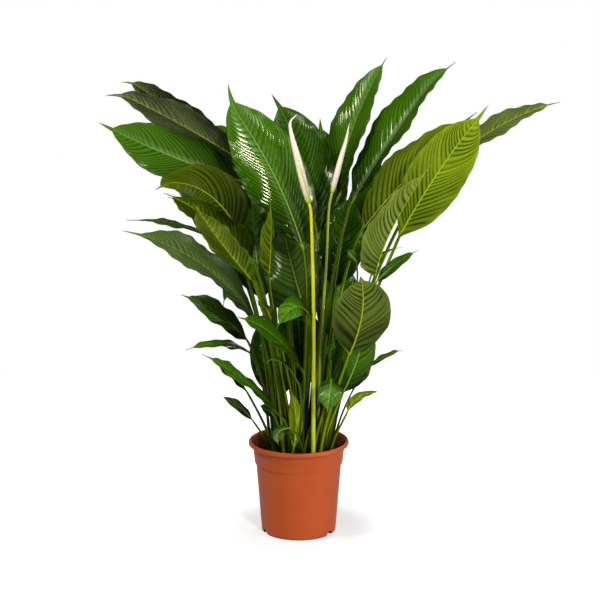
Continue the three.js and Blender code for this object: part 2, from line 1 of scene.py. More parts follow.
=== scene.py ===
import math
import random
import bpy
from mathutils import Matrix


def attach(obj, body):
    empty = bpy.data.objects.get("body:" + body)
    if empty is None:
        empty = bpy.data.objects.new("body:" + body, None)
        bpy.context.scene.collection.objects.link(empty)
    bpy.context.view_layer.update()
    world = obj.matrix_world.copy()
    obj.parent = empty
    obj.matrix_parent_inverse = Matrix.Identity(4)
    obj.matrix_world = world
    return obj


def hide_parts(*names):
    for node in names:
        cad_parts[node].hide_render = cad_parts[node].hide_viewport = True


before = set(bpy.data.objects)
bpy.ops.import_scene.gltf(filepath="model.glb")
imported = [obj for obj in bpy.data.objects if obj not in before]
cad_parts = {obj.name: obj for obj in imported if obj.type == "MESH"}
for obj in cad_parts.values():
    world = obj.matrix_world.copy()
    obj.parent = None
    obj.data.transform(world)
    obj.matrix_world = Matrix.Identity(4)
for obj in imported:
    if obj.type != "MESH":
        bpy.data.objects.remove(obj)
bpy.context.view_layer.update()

# Potted peace lily: long-stalked glossy leaves and two rolled buds in a terracotta nursery pot.
# Metres, +Z up. The origin is the middle of the pot's underside, and -Y is the plant's front.
from types import SimpleNamespace

import bmesh
import bpy
import numpy as np
from mathutils import Matrix, Vector, noise

UP = np.array((0.0, 0.0, 1.0))
RIGHT = np.array((1.0, 0.0, 0.0))
MERGE_DISTANCE = 2e-6

# ---------------------------------------------------------------- driving sizes, as in the solids

MM = 0.001
SOIL_TOP = 0.170
STEM_RISE = 0.005
LEAVING_REACH = 0.3
ARRIVING_REACH = 0.25

BODY_POWER = 2.2
BODY_ROUNDNESS = 0.75
DRIP_WIDTH = 0.16
DRIP_LENGTH = 0.16
VEIN_SWEEP = 0.4
VEIN_ARCH = 0.28
WAVE_COUNT = 2.6
WAVE_SHARE = 0.035
WAVE_SHIFT = 1.3
HOOK_START = 0.8
KEEL_SHARE = 0.8

# What the finer blades add. The lamina is lifted between the side veins, from a little way off the
# midrib, and its margin ripples. A span says over what length that rises from the blade's base,
# where it ends and over what length it falls to there. The midrib lies in a groove above and
# stands out below. The veins' count drifts a little, and the right half's veins leave a bit higher.
VEIN_SPACING = 0.0125
VEIN_DRIFT = 0.6
DRIFT_RATE = 9
VEIN_JITTER = 0.25
JITTER_RATE = 23
RIGHT_LEAD = 0.4
PLEAT_HEIGHT = 0.0006
PLEAT_START = 0.006
PLEAT_SPAN = (0.08, 0.97, 0.1)
RIPPLE_HEIGHT = 0.0014
RIPPLE_LENGTH = 0.034
RIPPLE_SPAN = (0.1, 0.96, 0.15)
BLADE_THICKNESS = 0.0005
MIDRIB_GROOVE = 0.0007
RIB_TAPER = 0.75
RIB_FLARE = 1.1

# how finely the skins are divided
MIDRIB_STEPS = 60
ROWS_PER_VEIN = 9
HALF_COLUMNS = (0, 0.02, 0.05, 0.1, 0.17, 0.26, 0.36, 0.47, 0.58, 0.69, 0.79, 0.88, 0.95, 0.985, 1)
STALK_RINGS = 26

# The stalk opens into the blade over the first part of the midrib. It has a knee a little below the
# blade and is wide and flat at the soil. Its skin counts as far from the midrib, which ends above.
NECK_BLEND = 0.06
KNEE_SWELL = 0.16
KNEE_PLACE = 0.016
KNEE_LENGTH = 0.011
SHEATH_SPREAD = 0.6
SHEATH_LENGTH = 0.16
STALK_DEPTH = 0.015
FAR_FROM_MIDRIB = 0.02

# stalk radius at the soil and at the blade, for each size of leaf
LARGE = SimpleNamespace(foot_radius=0.0046, neck_radius=0.0028)
MIDDLE = SimpleNamespace(foot_radius=0.0037, neck_radius=0.0021)
SMALL = SimpleNamespace(foot_radius=0.0025, neck_radius=0.0015)

# What most blades share: fold and curl are the degrees that each half rises at the midrib and
# bends on its way to the margin. skew folds the right half up by more than the left one. hook
# bends the tip, and body_end is where along the midrib the body gives way to the drip tip.
USUAL = dict(hook=(0, 0, 0), fold=18, curl=-14, skew=0, body_end=0.9)

# how fresh the upper side is, set low as painted shade on leaves deep in the clump, how yellow the
# underside is, and how grey the leaf is, partly its own grey and partly a painted sheen, from 0 to 1
USUAL_TONE = (0.55, 0.35, 0.0)
TONES = {
    "left_01": (0.25, 0.25, 0.8),
    "left_02": (0.2, 0.25, 0.9),
    "left_04": (0.5, 0.3, 0.2),
    "left_05": (0.5, 0.12, 0.0),
    "left_06": (0.5, 0.4, 0.0),
    "left_07": (0.6, 1.0, 0.15),
    "left_08": (0.5, 0.55, 0.0),
    "left_09": (0.25, 0.1, 0.4),
    "left_10": (0.4, 0.2, 0.85),
    "left_11": (0.5, 0.5, 0.35),
    "left_14": (0.45, 0.4, 0.1),
    "left_15": (0.5, 0.6, 0.2),
    "left_16": (0.4, 0.4, 0.4),
    "mid_01": (0.2, 0.3, 0.0),
    "mid_03": (1.0, 0.8, 0.1),
    "mid_04": (0.02, 0.2, 0.3),
    "mid_05": (0.54, 0.4, 0.0),
    "mid_06": (0.22, 0.3, 0.0),
    "mid_07": (0.15, 0.3, 0.1),
    "mid_09": (0.02, 0.2, 0.0),
    "mid_11": (0.4, 0.4, 0.8),
    "mid_12": (1.0, 0.8, 0.0),
    "right_01": (0.55, 0.8, 0.1),
    "right_02": (0.55, 0.5, 0.1),
    "right_03": (0.6, 0.52, 0.0),
    "right_04": (0.6, 0.75, 0.0),
    "right_05": (0.5, 0.68, 0.3),
    "right_06": (0.5, 0.45, 0.4),
    "right_09": (0.5, 0.22, 0.2),
    "right_10": (0.35, 0.4, 0.0),
    "right_12": (0.8, 0.8, 0.0),
    "right_13": (0.85, 0.8, 0.25),
    "back_08": (0.0, 0.0, 0.0),
    "back_09": (0.0, 0.0, 0.0),
    "back_10": (0.0, 0.0, 0.0),
}


def leaf(name, size, base, middle, tip, width, face, **options):
    """Base, middle and tip are points on the midrib, and the glossy upper side looks to face."""
    values = dict(USUAL, name="leaf_" + name, size=size, base=base, middle=middle, tip=tip, width=width,
                  face=face, face_tip=face, tone=TONES.get(name, USUAL_TONE))
    values.update(options)
    for key in ("base", "middle", "tip", "face", "face_tip", "hook", "tone"):
        values[key] = np.array(values[key], float)
    return SimpleNamespace(**values)


LEAVES = [
    leaf("left_01", LARGE, (-0.105, 0.095, 0.738), (-0.24, 0.075, 0.861), (-0.365, 0.05, 0.952),
         0.104, (0.3, 0.62, 0.75), hook=(0.005, 0, -0.017)),
    leaf("left_02", LARGE, (-0.1, 0.02, 0.77), (-0.24, 0.01, 0.855), (-0.39, 0.02, 0.93),
         0.112, (0.3, 0.68, 0.66), hook=(0, 0, -0.02)),
    leaf("left_03", MIDDLE, (-0.1, 0.15, 0.69), (-0.135, 0.175, 0.78), (-0.195, 0.18, 0.84),
         0.08, (0.2, -0.6, 0.8)),
    leaf("left_04", LARGE, (-0.105, 0.01, 0.735), (-0.26, -0.02, 0.795), (-0.395, -0.06, 0.865),
         0.122, (-0.2, -0.7, 0.7)),
    leaf("left_05", LARGE, (-0.11, -0.04, 0.62), (-0.18, -0.105, 0.73), (-0.275, -0.18, 0.76),
         0.13, (-0.1, 0.9, 0.1), face_tip=(0, 0.3, -1), fold=10, curl=-4, hook=(0, 0, -0.012), body_end=0.95),
    leaf("left_06", LARGE, (-0.09, -0.12, 0.595), (-0.17, -0.18, 0.69), (-0.255, -0.23, 0.75),
         0.095, (0, 0.4, 0.9)),
    leaf("left_07", LARGE, (-0.09, -0.13, 0.56), (-0.15, -0.215, 0.655), (-0.195, -0.27, 0.735),
         0.085, (0.2, 0.35, 0.9)),
    leaf("left_08", MIDDLE, (-0.06, -0.07, 0.56), (-0.055, -0.1, 0.635), (-0.055, -0.12, 0.715),
         0.052, (-0.8, 0.5, 0.2), fold=35),
    leaf("left_09", LARGE, (-0.13, -0.02, 0.6), (-0.23, -0.06, 0.655), (-0.345, -0.06, 0.67),
         0.072, (0.15, 0, 1)),
    leaf("left_10", LARGE, (-0.08, -0.092, 0.455), (-0.188, -0.142, 0.593), (-0.34, -0.175, 0.668),
         0.128, (0.1, -0.25, 1), fold=24, skew=6),
    leaf("left_11", MIDDLE, (-0.104, -0.066, 0.424), (-0.165, -0.088, 0.486), (-0.235, -0.1, 0.526),
         0.074, (-0.1, -0.4, 0.9)),
    leaf("left_12", LARGE, (-0.075, 0.02, 0.49), (-0.09, 0.05, 0.6), (-0.1, 0.085, 0.72),
         0.105, (0, -0.9, 0.4)),
    leaf("left_13", MIDDLE, (-0.1, -0.05, 0.395), (-0.16, -0.06, 0.415), (-0.23, -0.07, 0.405),
         0.05, (0, -0.1, 1)),
    leaf("left_14", MIDDLE, (-0.03, -0.11, 0.27), (-0.11, -0.15, 0.362), (-0.19, -0.17, 0.421),
         0.072, (0.1, -0.2, 1)),
    leaf("left_15", MIDDLE, (-0.105, -0.08, 0.32), (-0.138, -0.1, 0.365), (-0.18, -0.11, 0.402),
         0.04, (0.1, -0.4, 1)),
    leaf("left_16", SMALL, (-0.095, -0.06, 0.255), (-0.125, -0.07, 0.288), (-0.16, -0.075, 0.31),
         0.03, (0.2, -0.5, 1)),
    leaf("left_17", MIDDLE, (-0.12, -0.03, 0.58), (-0.14, -0.035, 0.55), (-0.155, -0.015, 0.48),
         0.06, (-0.6, -0.4, 0.5)),
    leaf("mid_01", MIDDLE, (0.01, -0.12, 0.37), (-0.05, -0.17, 0.46), (-0.12, -0.19, 0.5),
         0.085, (0.2, -0.35, 0.9)),
    leaf("mid_02", SMALL, (0, -0.15, 0.355), (-0.035, -0.16, 0.405), (-0.065, -0.165, 0.4),
         0.018, (0, -0.2, 1)),
    leaf("mid_03", SMALL, (0.02, -0.095, 0.485), (-0.01, -0.125, 0.505), (-0.045, -0.145, 0.465),
         0.05, (0, -0.75, 0.65)),
    leaf("mid_04", LARGE, (0.02, -0.02, 0.45), (-0.01, 0, 0.55), (-0.035, 0.02, 0.655),
         0.125, (0.1, -0.9, 0.35)),
    leaf("mid_05", LARGE, (0.01, -0.07, 0.61), (-0.057, -0.05, 0.775), (-0.16, -0.03, 0.93),
         0.132, (-0.05, -0.92, 0.38), hook=(0.02, 0, 0.01)),
    leaf("mid_06", LARGE, (0.04, 0.04, 0.61), (0.005, 0.06, 0.775), (-0.05, 0.06, 0.905),
         0.125, (0.05, -0.92, 0.35), hook=(-0.006, 0, 0.006)),
    leaf("mid_07", LARGE, (0.055, 0.075, 0.615), (0.05, 0.12, 0.735), (0.045, 0.17, 0.85),
         0.105, (0.1, -0.9, 0.3)),
    leaf("mid_08", SMALL, (0.065, -0.05, 0.375), (0.065, -0.075, 0.405), (0.075, -0.075, 0.425),
         0.02, (0, -0.9, 0.3)),
    leaf("mid_09", LARGE, (0.075, 0.035, 0.51), (0.09, 0.045, 0.61), (0.11, 0.06, 0.715),
         0.095, (0.2, -0.85, 0.4)),
    leaf("mid_10", SMALL, (-0.05, -0.1, 0.275), (-0.065, -0.105, 0.29), (-0.08, -0.11, 0.3),
         0.024, (0, -0.6, 0.8)),
    leaf("mid_11", SMALL, (-0.015, -0.12, 0.255), (-0.04, -0.135, 0.25), (-0.04, -0.14, 0.225),
         0.026, (0, -0.6, 0.8)),
    leaf("mid_12", SMALL, (-0.01, -0.08, 0.2), (-0.006, -0.075, 0.265), (-0.018, -0.108, 0.335),
         0.028, (0, 1, 0)),
    leaf("mid_13", SMALL, (-0.055, -0.09, 0.47), (-0.065, -0.095, 0.495), (-0.085, -0.1, 0.515),
         0.028, (0, 0.6, 0.8)),
    leaf("right_01", LARGE, (0.07, 0.07, 0.68), (0.113, 0.11, 0.836), (0.179, 0.14, 0.97),
         0.108, (-0.5, -0.75, 0.3), fold=28, skew=16, hook=(0.004, 0, 0.01), body_end=0.95),
    leaf("right_02", LARGE, (0.108, 0.02, 0.69), (0.205, 0.04, 0.843), (0.303, 0.05, 0.972),
         0.142, (-0.45, -0.6, 0.65), fold=30, skew=20, hook=(0.015, 0, 0.004), body_end=0.95),
    leaf("right_03", LARGE, (0.125, -0.06, 0.65), (0.232, -0.045, 0.771), (0.35, -0.08, 0.888),
         0.138, (-0.5, 0.75, 0.4), fold=28, skew=-10),
    leaf("right_04", LARGE, (0.198, -0.11, 0.644), (0.276, -0.14, 0.785), (0.362, -0.13, 0.897),
         0.112, (0.3, 0.9, -0.15), hook=(0.005, 0, 0.01)),
    leaf("right_05", LARGE, (0.15, -0.135, 0.57), (0.18, -0.205, 0.68), (0.25, -0.25, 0.81),
         0.112, (-0.55, 0.8, 0.3), fold=35, skew=-22, curl=-8),
    leaf("right_06", LARGE, (0.255, -0.04, 0.75), (0.39, -0.06, 0.855), (0.515, -0.06, 0.905),
         0.088, (-0.25, 0.55, 0.8)),
    leaf("right_07", SMALL, (0.155, -0.11, 0.555), (0.19, -0.12, 0.59), (0.235, -0.13, 0.622),
         0.028, (0.3, -0.5, 0.8)),
    leaf("right_08", SMALL, (0.15, -0.06, 0.57), (0.17, -0.08, 0.605), (0.205, -0.09, 0.62),
         0.026, (0, 0.2, 1)),
    leaf("right_09", LARGE, (0.1, -0.12, 0.405), (0.125, -0.16, 0.505), (0.118, -0.165, 0.585),
         0.116, (-0.1, 0.95, 0.2), hook=(0.004, 0.018, -0.012)),
    leaf("right_10", MIDDLE, (0.09, -0.086, 0.32), (0.12, -0.088, 0.395), (0.138, -0.086, 0.475),
         0.07, (0.4, -0.8, 0.4)),
    leaf("right_11", SMALL, (0.14, -0.06, 0.365), (0.175, -0.065, 0.39), (0.21, -0.07, 0.405),
         0.026, (0, -0.2, 1)),
    leaf("right_12", SMALL, (0.1, -0.08, 0.28), (0.125, -0.095, 0.315), (0.17, -0.1, 0.325),
         0.036, (-0.2, 0.6, 0.75)),
    leaf("right_13", SMALL, (0.066, -0.098, 0.352), (0.062, -0.132, 0.33), (0.057, -0.125, 0.288),
         0.048, (0.1, -0.8, 0.6)),
    leaf("right_14", SMALL, (0.115, -0.09, 0.59), (0.105, -0.09, 0.605), (0.095, -0.095, 0.615),
         0.02, (0, -0.9, 0.3)),
    leaf("back_01", LARGE, (0.025, 0.12, 0.52), (0.05, 0.26, 0.7), (0.08, 0.42, 0.74),
         0.12, (0, -0.3, 1)),
    leaf("back_02", LARGE, (-0.03, 0.13, 0.56), (-0.07, 0.27, 0.74), (-0.11, 0.42, 0.77),
         0.115, (0, -0.3, 1)),
    leaf("back_03", LARGE, (-0.09, 0.11, 0.5), (-0.19, 0.22, 0.65), (-0.3, 0.33, 0.69),
         0.115, (0.2, -0.2, 1)),
    leaf("back_04", LARGE, (0.08, 0.11, 0.52), (0.18, 0.23, 0.69), (0.28, 0.34, 0.75),
         0.115, (-0.2, -0.2, 1)),
    leaf("back_05", LARGE, (-0.12, 0.08, 0.54), (-0.2, 0.13, 0.64), (-0.28, 0.18, 0.68),
         0.1, (0.3, -0.1, 1)),
    leaf("back_06", MIDDLE, (0.072, 0.052, 0.395), (0.084, 0.078, 0.48), (0.092, 0.096, 0.57),
         0.092, (0, -0.9, 0.4)),
    leaf("back_07", LARGE, (0, 0.19, 0.42), (0.01, 0.295, 0.525), (0.03, 0.4, 0.54),
         0.11, (0, -0.2, 1)),
    leaf("back_08", MIDDLE, (-0.044, 0.072, 0.26), (-0.055, 0.1, 0.355), (-0.078, 0.112, 0.45),
         0.1, (0, -0.9, 0.4)),
    leaf("back_09", MIDDLE, (0.05, 0.07, 0.27), (0.066, 0.096, 0.36), (0.084, 0.108, 0.46),
         0.095, (0, -0.9, 0.4)),
    leaf("back_10", MIDDLE, (0.005, 0.09, 0.29), (0.002, 0.135, 0.375), (-0.006, 0.14, 0.48),
         0.105, (0, -0.9, 0.4)),
]

# ---------------------------------------------------------------- curves and small helpers


def unit(vectors):
    return vectors / np.maximum(np.linalg.norm(vectors, axis=-1, keepdims=True), 1e-12)


def smooth(value):
    """0 below 0 and 1 above 1, with a smooth step between them."""
    value = np.clip(value, 0.0, 1.0)
    return value * value * (3.0 - 2.0 * value)


def between(value, rise, end, fall):
    """1 along the blade, with a smooth rise from its base and a smooth fall that ends near the tip."""
    return smooth(value / rise) * smooth((end - value) / fall)


def run_along(path):
    """How far along the path each of its points lies."""
    return np.concatenate([[0], np.linalg.norm(np.diff(path, axis=0), axis=1).cumsum()])


def carried_frames(path, side, steps):
    """A side and an up at each point: the given side is carried over the steps without a twist."""
    tangents = unit(np.gradient(path, axis=0))
    sides = np.empty_like(path)
    for k in steps:
        side = unit(side - tangents[k] * np.dot(side, tangents[k]))
        sides[k] = side
    return sides, np.cross(sides, tangents)


def rings_round(path, sides, ups, aside, above):
    """A ring at each point of the path, from how far its points lie to the side and above."""
    return path[:, None] + sides[:, None] * aside[..., None] + ups[:, None] * above[..., None]


def layer(*values):
    """Three numbers for each point of the rings, from values that may repeat over them."""
    return np.stack(np.broadcast_arrays(*values), axis=-1)


def midrib_point(blade, s):
    s = np.asarray(s, float)[..., None]
    control = 2 * blade.middle - (blade.base + blade.tip) / 2
    hook = np.maximum(0.0, (s - HOOK_START) / (1 - HOOK_START)) ** 2
    return ((1 - s) ** 2 * blade.base + 2 * s * (1 - s) * control + s ** 2 * blade.tip
            + blade.hook * hook)


def midrib_tangent(blade, s):
    return unit(midrib_point(blade, np.minimum(s + 0.001, 1.0)) - midrib_point(blade, s - 0.001))


def outline(blade, s):
    """The blade's half width at s, as a share of its greatest half width."""
    in_body = np.abs(2 * s / blade.body_end - 1)
    body = np.where(in_body < 1, np.maximum(0.0, 1 - in_body ** BODY_POWER) ** BODY_ROUNDNESS, 0.0)
    drip = DRIP_WIDTH * s ** 2 * np.minimum(1.0, (1 - s) / DRIP_LENGTH)
    return np.cbrt(body ** 3 + drip ** 3)


def vein_station(blade, row, across):
    """Where along the midrib the point across lies on the side vein that leaves it at row."""
    room = np.maximum(0.0, 1 - row / blade.body_end) * (1 - (1 - row) ** 3)
    reach = np.abs(across)
    return row + room * (VEIN_SWEEP * reach + VEIN_ARCH * reach ** 2)


def blade_frame(blade, s):
    """The blade's right-hand side and its upward normal at s."""
    tangent = midrib_tangent(blade, s)
    turn = np.asarray(s, float)[..., None]
    face = blade.face * (1 - turn) + blade.face_tip * turn
    side = unit(np.cross(tangent, face))
    return side, np.cross(side, tangent)


def blade_surface(blade, row, across):
    """The middle of the lamina, its upward normal, its station and its distance from the midrib."""
    station = vein_station(blade, row, across)
    side, normal = blade_frame(blade, station)
    reach = np.abs(across)
    hand = np.sign(across)
    half_width = blade.width / 2 * outline(blade, station)
    fold = blade.fold + blade.skew * hand
    slope = np.radians(fold + blade.curl * reach)
    phase = 2 * np.pi * WAVE_COUNT * station + hand * WAVE_SHIFT + blade.base[0] / MM
    wave = WAVE_SHARE * blade.width * outline(blade, station) * reach ** 2 * np.sin(phase)
    along = hand * half_width * reach * np.cos(slope)
    lift = half_width * reach * np.sin(slope) + wave
    point = midrib_point(blade, station) + side * along[..., None] + normal * lift[..., None]
    lean = np.tan(np.radians(fold + 2 * blade.curl * reach)) * np.clip(2 * across, -1, 1)
    return point, unit(normal - side * lean[..., None]), station, half_width * reach


def ring_skin(name, rings, layers):
    """A closed skin over rings of points, each ring's last point on its first one."""
    rows, columns = rings.shape[:2]
    bm = bmesh.new()
    bmesh.ops.create_grid(bm, x_segments=columns - 1, y_segments=rows - 1, size=1.0)
    mesh = bpy.data.meshes.new(name)
    bm.to_mesh(mesh)
    flat = np.empty(len(mesh.vertices) * 3)
    mesh.vertices.foreach_get("co", flat)
    place = (flat.reshape(-1, 3)[:, :2] + 1) / 2
    column = np.rint(place[:, 0] * (columns - 1)).astype(int)
    row = np.rint(place[:, 1] * (rows - 1)).astype(int)
    mesh.vertices.foreach_set("co", rings[row, column].ravel())
    for label, values in layers.items():
        attribute = mesh.attributes.new(label, "FLOAT_VECTOR", "POINT")
        attribute.data.foreach_set("vector", values[row, column].ravel())
    bm.clear()
    bm.from_mesh(mesh)
    bmesh.ops.remove_doubles(bm, verts=bm.verts, dist=MERGE_DISTANCE)
    open_edges = [edge for edge in bm.edges if edge.is_boundary]
    if open_edges:
        bmesh.ops.holes_fill(bm, edges=open_edges, sides=0)
    finish_skin(bm, mesh)
    return mesh


def finish_skin(bm, mesh):
    """Turns the faces outwards, smooths them and puts them in the mesh."""
    bmesh.ops.recalc_face_normals(bm, faces=bm.faces)
    for face in bm.faces:
        face.smooth = True
    bm.to_mesh(mesh)
    bm.free()


def add_piece(name, mesh, node, material):
    """Rides on the part's one body, in place of the node where one is given."""
    piece = bpy.data.objects.new(name, mesh)
    bpy.context.scene.collection.objects.link(piece)
    mesh.materials.append(material)
    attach(piece, "root")
    if node:
        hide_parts(node)
    return piece


def node_foot(name):
    """The middle of the lowest ring of a stem's solid, in plan."""
    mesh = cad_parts[name].data
    points = np.empty(len(mesh.vertices) * 3)
    mesh.vertices.foreach_get("co", points)
    points = points.reshape(-1, 3)
    low = points[points[:, 2] < points[:, 2].min() + MM / 2]
    return (low.min(axis=0)[:2] + low.max(axis=0)[:2]) / 2


# ---------------------------------------------------------------- the leaves


def ring_columns(size):
    """Where a ring's points lie across the blade, and how they face: 1 up, -1 down, 0 at the margin."""
    half = np.array(HALF_COLUMNS[::1 if size is LARGE else 2])
    top = np.concatenate([-half[::-1], half[1:]])
    across = np.concatenate([top, top[::-1][1:]])
    facing = np.where(np.arange(len(across)) < len(top), 1.0, -1.0)
    facing[np.abs(across) == 1] = 0.0
    return across, facing


def vein_count(row, hand, veins, seed):
    """Counts the side veins up the blade, a little unevenly: a whole number lies on each vein."""
    drift = VEIN_DRIFT * np.sin(DRIFT_RATE * row + seed + hand)
    jitter = VEIN_JITTER * np.sin(JITTER_RATE * row + 2 * seed)
    return veins * row + drift + jitter + RIGHT_LEAD * (hand > 0)


def blade_skin(blade, seed):
    """Where the points of the blade's skin lie on it, ring by ring from its base."""
    across, facing = ring_columns(blade.size)
    length = run_along(midrib_point(blade, np.linspace(0, 1, MIDRIB_STEPS)))[-1]
    veins = length / VEIN_SPACING
    row, across = np.meshgrid(np.linspace(0, 1, int(veins * ROWS_PER_VEIN)), across, indexing="ij")
    point, normal, station, distance = blade_surface(blade, row, across)
    return SimpleNamespace(row=row, across=across, reach=np.abs(across), facing=facing,
                           point=point, normal=normal, station=station, distance=distance,
                           vein=vein_count(row, np.sign(across), veins, seed), length=length)


def blade_relief(blade, skin, seed):
    """How far each point of the skin stands off the middle of the lamina, along its normal."""
    fade = (1 - skin.reach ** 5) * smooth(skin.distance / PLEAT_START) * between(skin.row, *PLEAT_SPAN)
    unevenness = 0.7 + 0.3 * np.sin(2.3 * np.floor(skin.vein) + seed) * np.cos(3 * skin.reach + seed)
    pleat = PLEAT_HEIGHT * unevenness * fade * np.abs(np.sin(np.pi * skin.vein)) ** 0.5
    phase = skin.length / RIPPLE_LENGTH * 2 * np.pi * skin.station + seed + 2 * np.sign(skin.across)
    ripple = RIPPLE_HEIGHT * skin.reach ** 5 * between(skin.station, *RIPPLE_SPAN) * np.sin(phase)
    rib_radius = blade.size.neck_radius * (1 - RIB_TAPER * skin.row)
    rib = np.exp(-(skin.distance / (RIB_FLARE * rib_radius)) ** 2)
    thick = BLADE_THICKNESS / 2 * np.sqrt(np.maximum(0.0, 1 - skin.reach ** 8))
    groove = -MIDRIB_GROOVE * (1 - skin.row) * rib * (skin.facing > 0)
    keel = KEEL_SHARE * rib_radius * rib
    return pleat + ripple + np.where(skin.facing >= 0, skin.facing * thick + groove, -thick - keel)


def stalk_path(blade, foot):
    """Points from the soil to the blade's base: the stem rises, then bows over."""
    start = np.array((foot[0], foot[1], SOIL_TOP + STEM_RISE))
    chord = blade.base - start
    reach = np.linalg.norm(chord)
    leaving = unit(2 * UP + unit(chord)) * reach * LEAVING_REACH
    arriving = unit(midrib_tangent(blade, np.array(0.01)) + unit(chord)) * reach * ARRIVING_REACH
    t = np.linspace(0, 1, STALK_RINGS)[:, None]
    curve = ((1 - t) ** 3 * start + 3 * (1 - t) ** 2 * t * (start + leaving)
             + 3 * (1 - t) * t ** 2 * (blade.base - arriving) + t ** 3 * blade.base)
    buried = start - UP * (STALK_DEPTH + STEM_RISE)
    return np.vstack([buried[None], curve])


def stalk_rings(blade, side, turn):
    """Rings up the stalk, with its sheath and its knee, and the share of its run that each is at."""
    path = stalk_path(blade, node_foot(blade.name))
    run = run_along(path)
    share = run / run[-1]
    sides, ups = carried_frames(path, side, reversed(range(len(path))))
    size = blade.size
    knee = 1 + KNEE_SWELL * np.exp(-((run[-1] - run - KNEE_PLACE) / KNEE_LENGTH) ** 2)
    radius = ((size.foot_radius + (size.neck_radius - size.foot_radius) * share) * knee)[:, None]
    sheath = (1 + SHEATH_SPREAD * np.exp(-(run / SHEATH_LENGTH) ** 2))[:, None]
    rings = rings_round(path, sides, ups, radius * sheath * np.cos(turn), radius * np.sin(turn))
    return rings[:-1], share[:-1, None]


def own_seed(blade):
    """A number of the blade's own, from where it grows, so that no two have the same unevenness."""
    return 7.3 * blade.base[0] / MM + 3.1 * blade.base[2] / MM


def chance_of(seed):
    """A number from 0 to 1 that looks random, and is the same each time."""
    return (math.sin(12.9898 * seed) * 43758.5453) % 1.0


def leaf_mesh(blade):
    """One blade with its pleats, midrib and margin, flowing into the stalk below it."""
    seed = own_seed(blade)
    skin = blade_skin(blade, seed)
    turn = np.linspace(np.pi, -np.pi, len(skin.facing))
    midrib_rows = skin.row[:, 0]
    sides, ups = blade_frame(blade, midrib_rows)
    neck_radius = blade.size.neck_radius * np.ones((len(midrib_rows), 1))
    neck = rings_round(midrib_point(blade, midrib_rows), sides, ups,
                       neck_radius * np.cos(turn), neck_radius * np.sin(turn))
    spread = smooth(skin.row / NECK_BLEND)
    lamina = skin.point + skin.normal * blade_relief(blade, skin, seed)[..., None]
    blade_rings = neck * (1 - spread[..., None]) + lamina * spread[..., None]
    stem_rings, share = stalk_rings(blade, sides[0], turn)

    # place: across or round, along (below 0 on the stalk) and 1 on the upper side
    # lines: the vein count or the stem's tint, the distance from the midrib and 1 on the stalk
    upper = (skin.facing + 1) / 2
    place = np.vstack([layer(np.cos(turn), share - 1, upper), layer(skin.across, skin.row, upper)])
    lines = np.vstack([layer(chance_of(seed), FAR_FROM_MIDRIB * np.ones_like(share), np.ones(len(turn))),
                       layer(skin.vein, skin.distance, 1 - spread)])
    tone = np.ones(place.shape) * blade.tone
    rings = np.vstack([stem_rings, blade_rings])
    return ring_skin(blade.name, rings, {"place": place, "lines": lines, "tone": tone})


# ---------------------------------------------------------------- the buds

FLOWER_1 = SimpleNamespace(
    name="flower_1", radii=(0.0046, 0.003), spathe_radius=0.0078,
    stalk=[(0.03, -0.072, 0.33), (0.03, -0.09, 0.49), (0.025, -0.108, 0.68)],
    spathe=[(0.02, -0.112, 0.712), (-0.002, -0.116, 0.8), (-0.014, -0.118, 0.848),
            (-0.016, -0.119, 0.872), (-0.002, -0.12, 0.888)],
    ripeness=0.0, wrap=0.6)
FLOWER_2 = SimpleNamespace(
    name="flower_2", radii=(0.0036, 0.0026), spathe_radius=0.0056,
    stalk=[(0.046, -0.034, 0.42), (0.056, -0.036, 0.575), (0.06, -0.036, 0.68)],
    spathe=[(0.067, -0.036, 0.722), (0.083, -0.036, 0.785), (0.094, -0.036, 0.825),
            (0.101, -0.036, 0.862)],
    ripeness=1.0, wrap=2.6)
CURVE_STEPS = 40
FLOWER_STALK_RINGS = 90
FLOWER_STALK_SIDES = 24
SPATHE_RINGS = 110
SPATHE_SIDES = 45

# how much the roll swells above the stalk, how far its free edge turns on the way up, how the sheet
# thins to that edge and how it ribs
SPATHE_SWELL = 0.75
SPATHE_TURN = 1.1
EDGE_WIDTH = 0.06
ROLL_STEP = 0.14
RIB_COUNT = 14
RIB_HEIGHT = 0.012


def smooth_curve(points, count):
    """Evenly spaced points on a curve through the given ones."""
    points = np.array(points, float)
    padded = np.vstack([2 * points[0] - points[1], points, 2 * points[-1] - points[-2]])
    t = np.linspace(0, 1, CURVE_STEPS, endpoint=False)[:, None]
    dense = []
    for k in range(len(points) - 1):
        a, b, c, d = padded[k:k + 4]
        dense.append(0.5 * (2 * b + (c - a) * t + (2 * a - 5 * b + 4 * c - d) * t ** 2
                            + (3 * b - a - 3 * c + d) * t ** 3))
    dense = np.vstack(dense + [points[-1:]])
    run = run_along(dense)
    at = np.linspace(0, run[-1], count)
    return np.stack([np.interp(at, run, dense[:, k]) for k in range(3)], axis=1)


def flower_stalk_mesh(flower):
    foot = node_foot(flower.name + "_stalk")
    buried = (foot[0], foot[1], SOIL_TOP - STALK_DEPTH)
    path = smooth_curve([buried, *flower.stalk, flower.spathe[0]], FLOWER_STALK_RINGS)
    sides, ups = carried_frames(path, RIGHT, range(len(path)))
    share = np.linspace(0, 1, len(path))[:, None]
    radius = flower.radii[0] + (flower.radii[1] - flower.radii[0]) * share
    turn = np.linspace(np.pi, -np.pi, FLOWER_STALK_SIDES + 1)
    rings = rings_round(path, sides, ups, radius * np.cos(turn), radius * np.sin(turn))
    place = layer(turn / np.pi, share, flower.ripeness)
    return ring_skin(flower.name + "_stalk", rings, {"place": place})


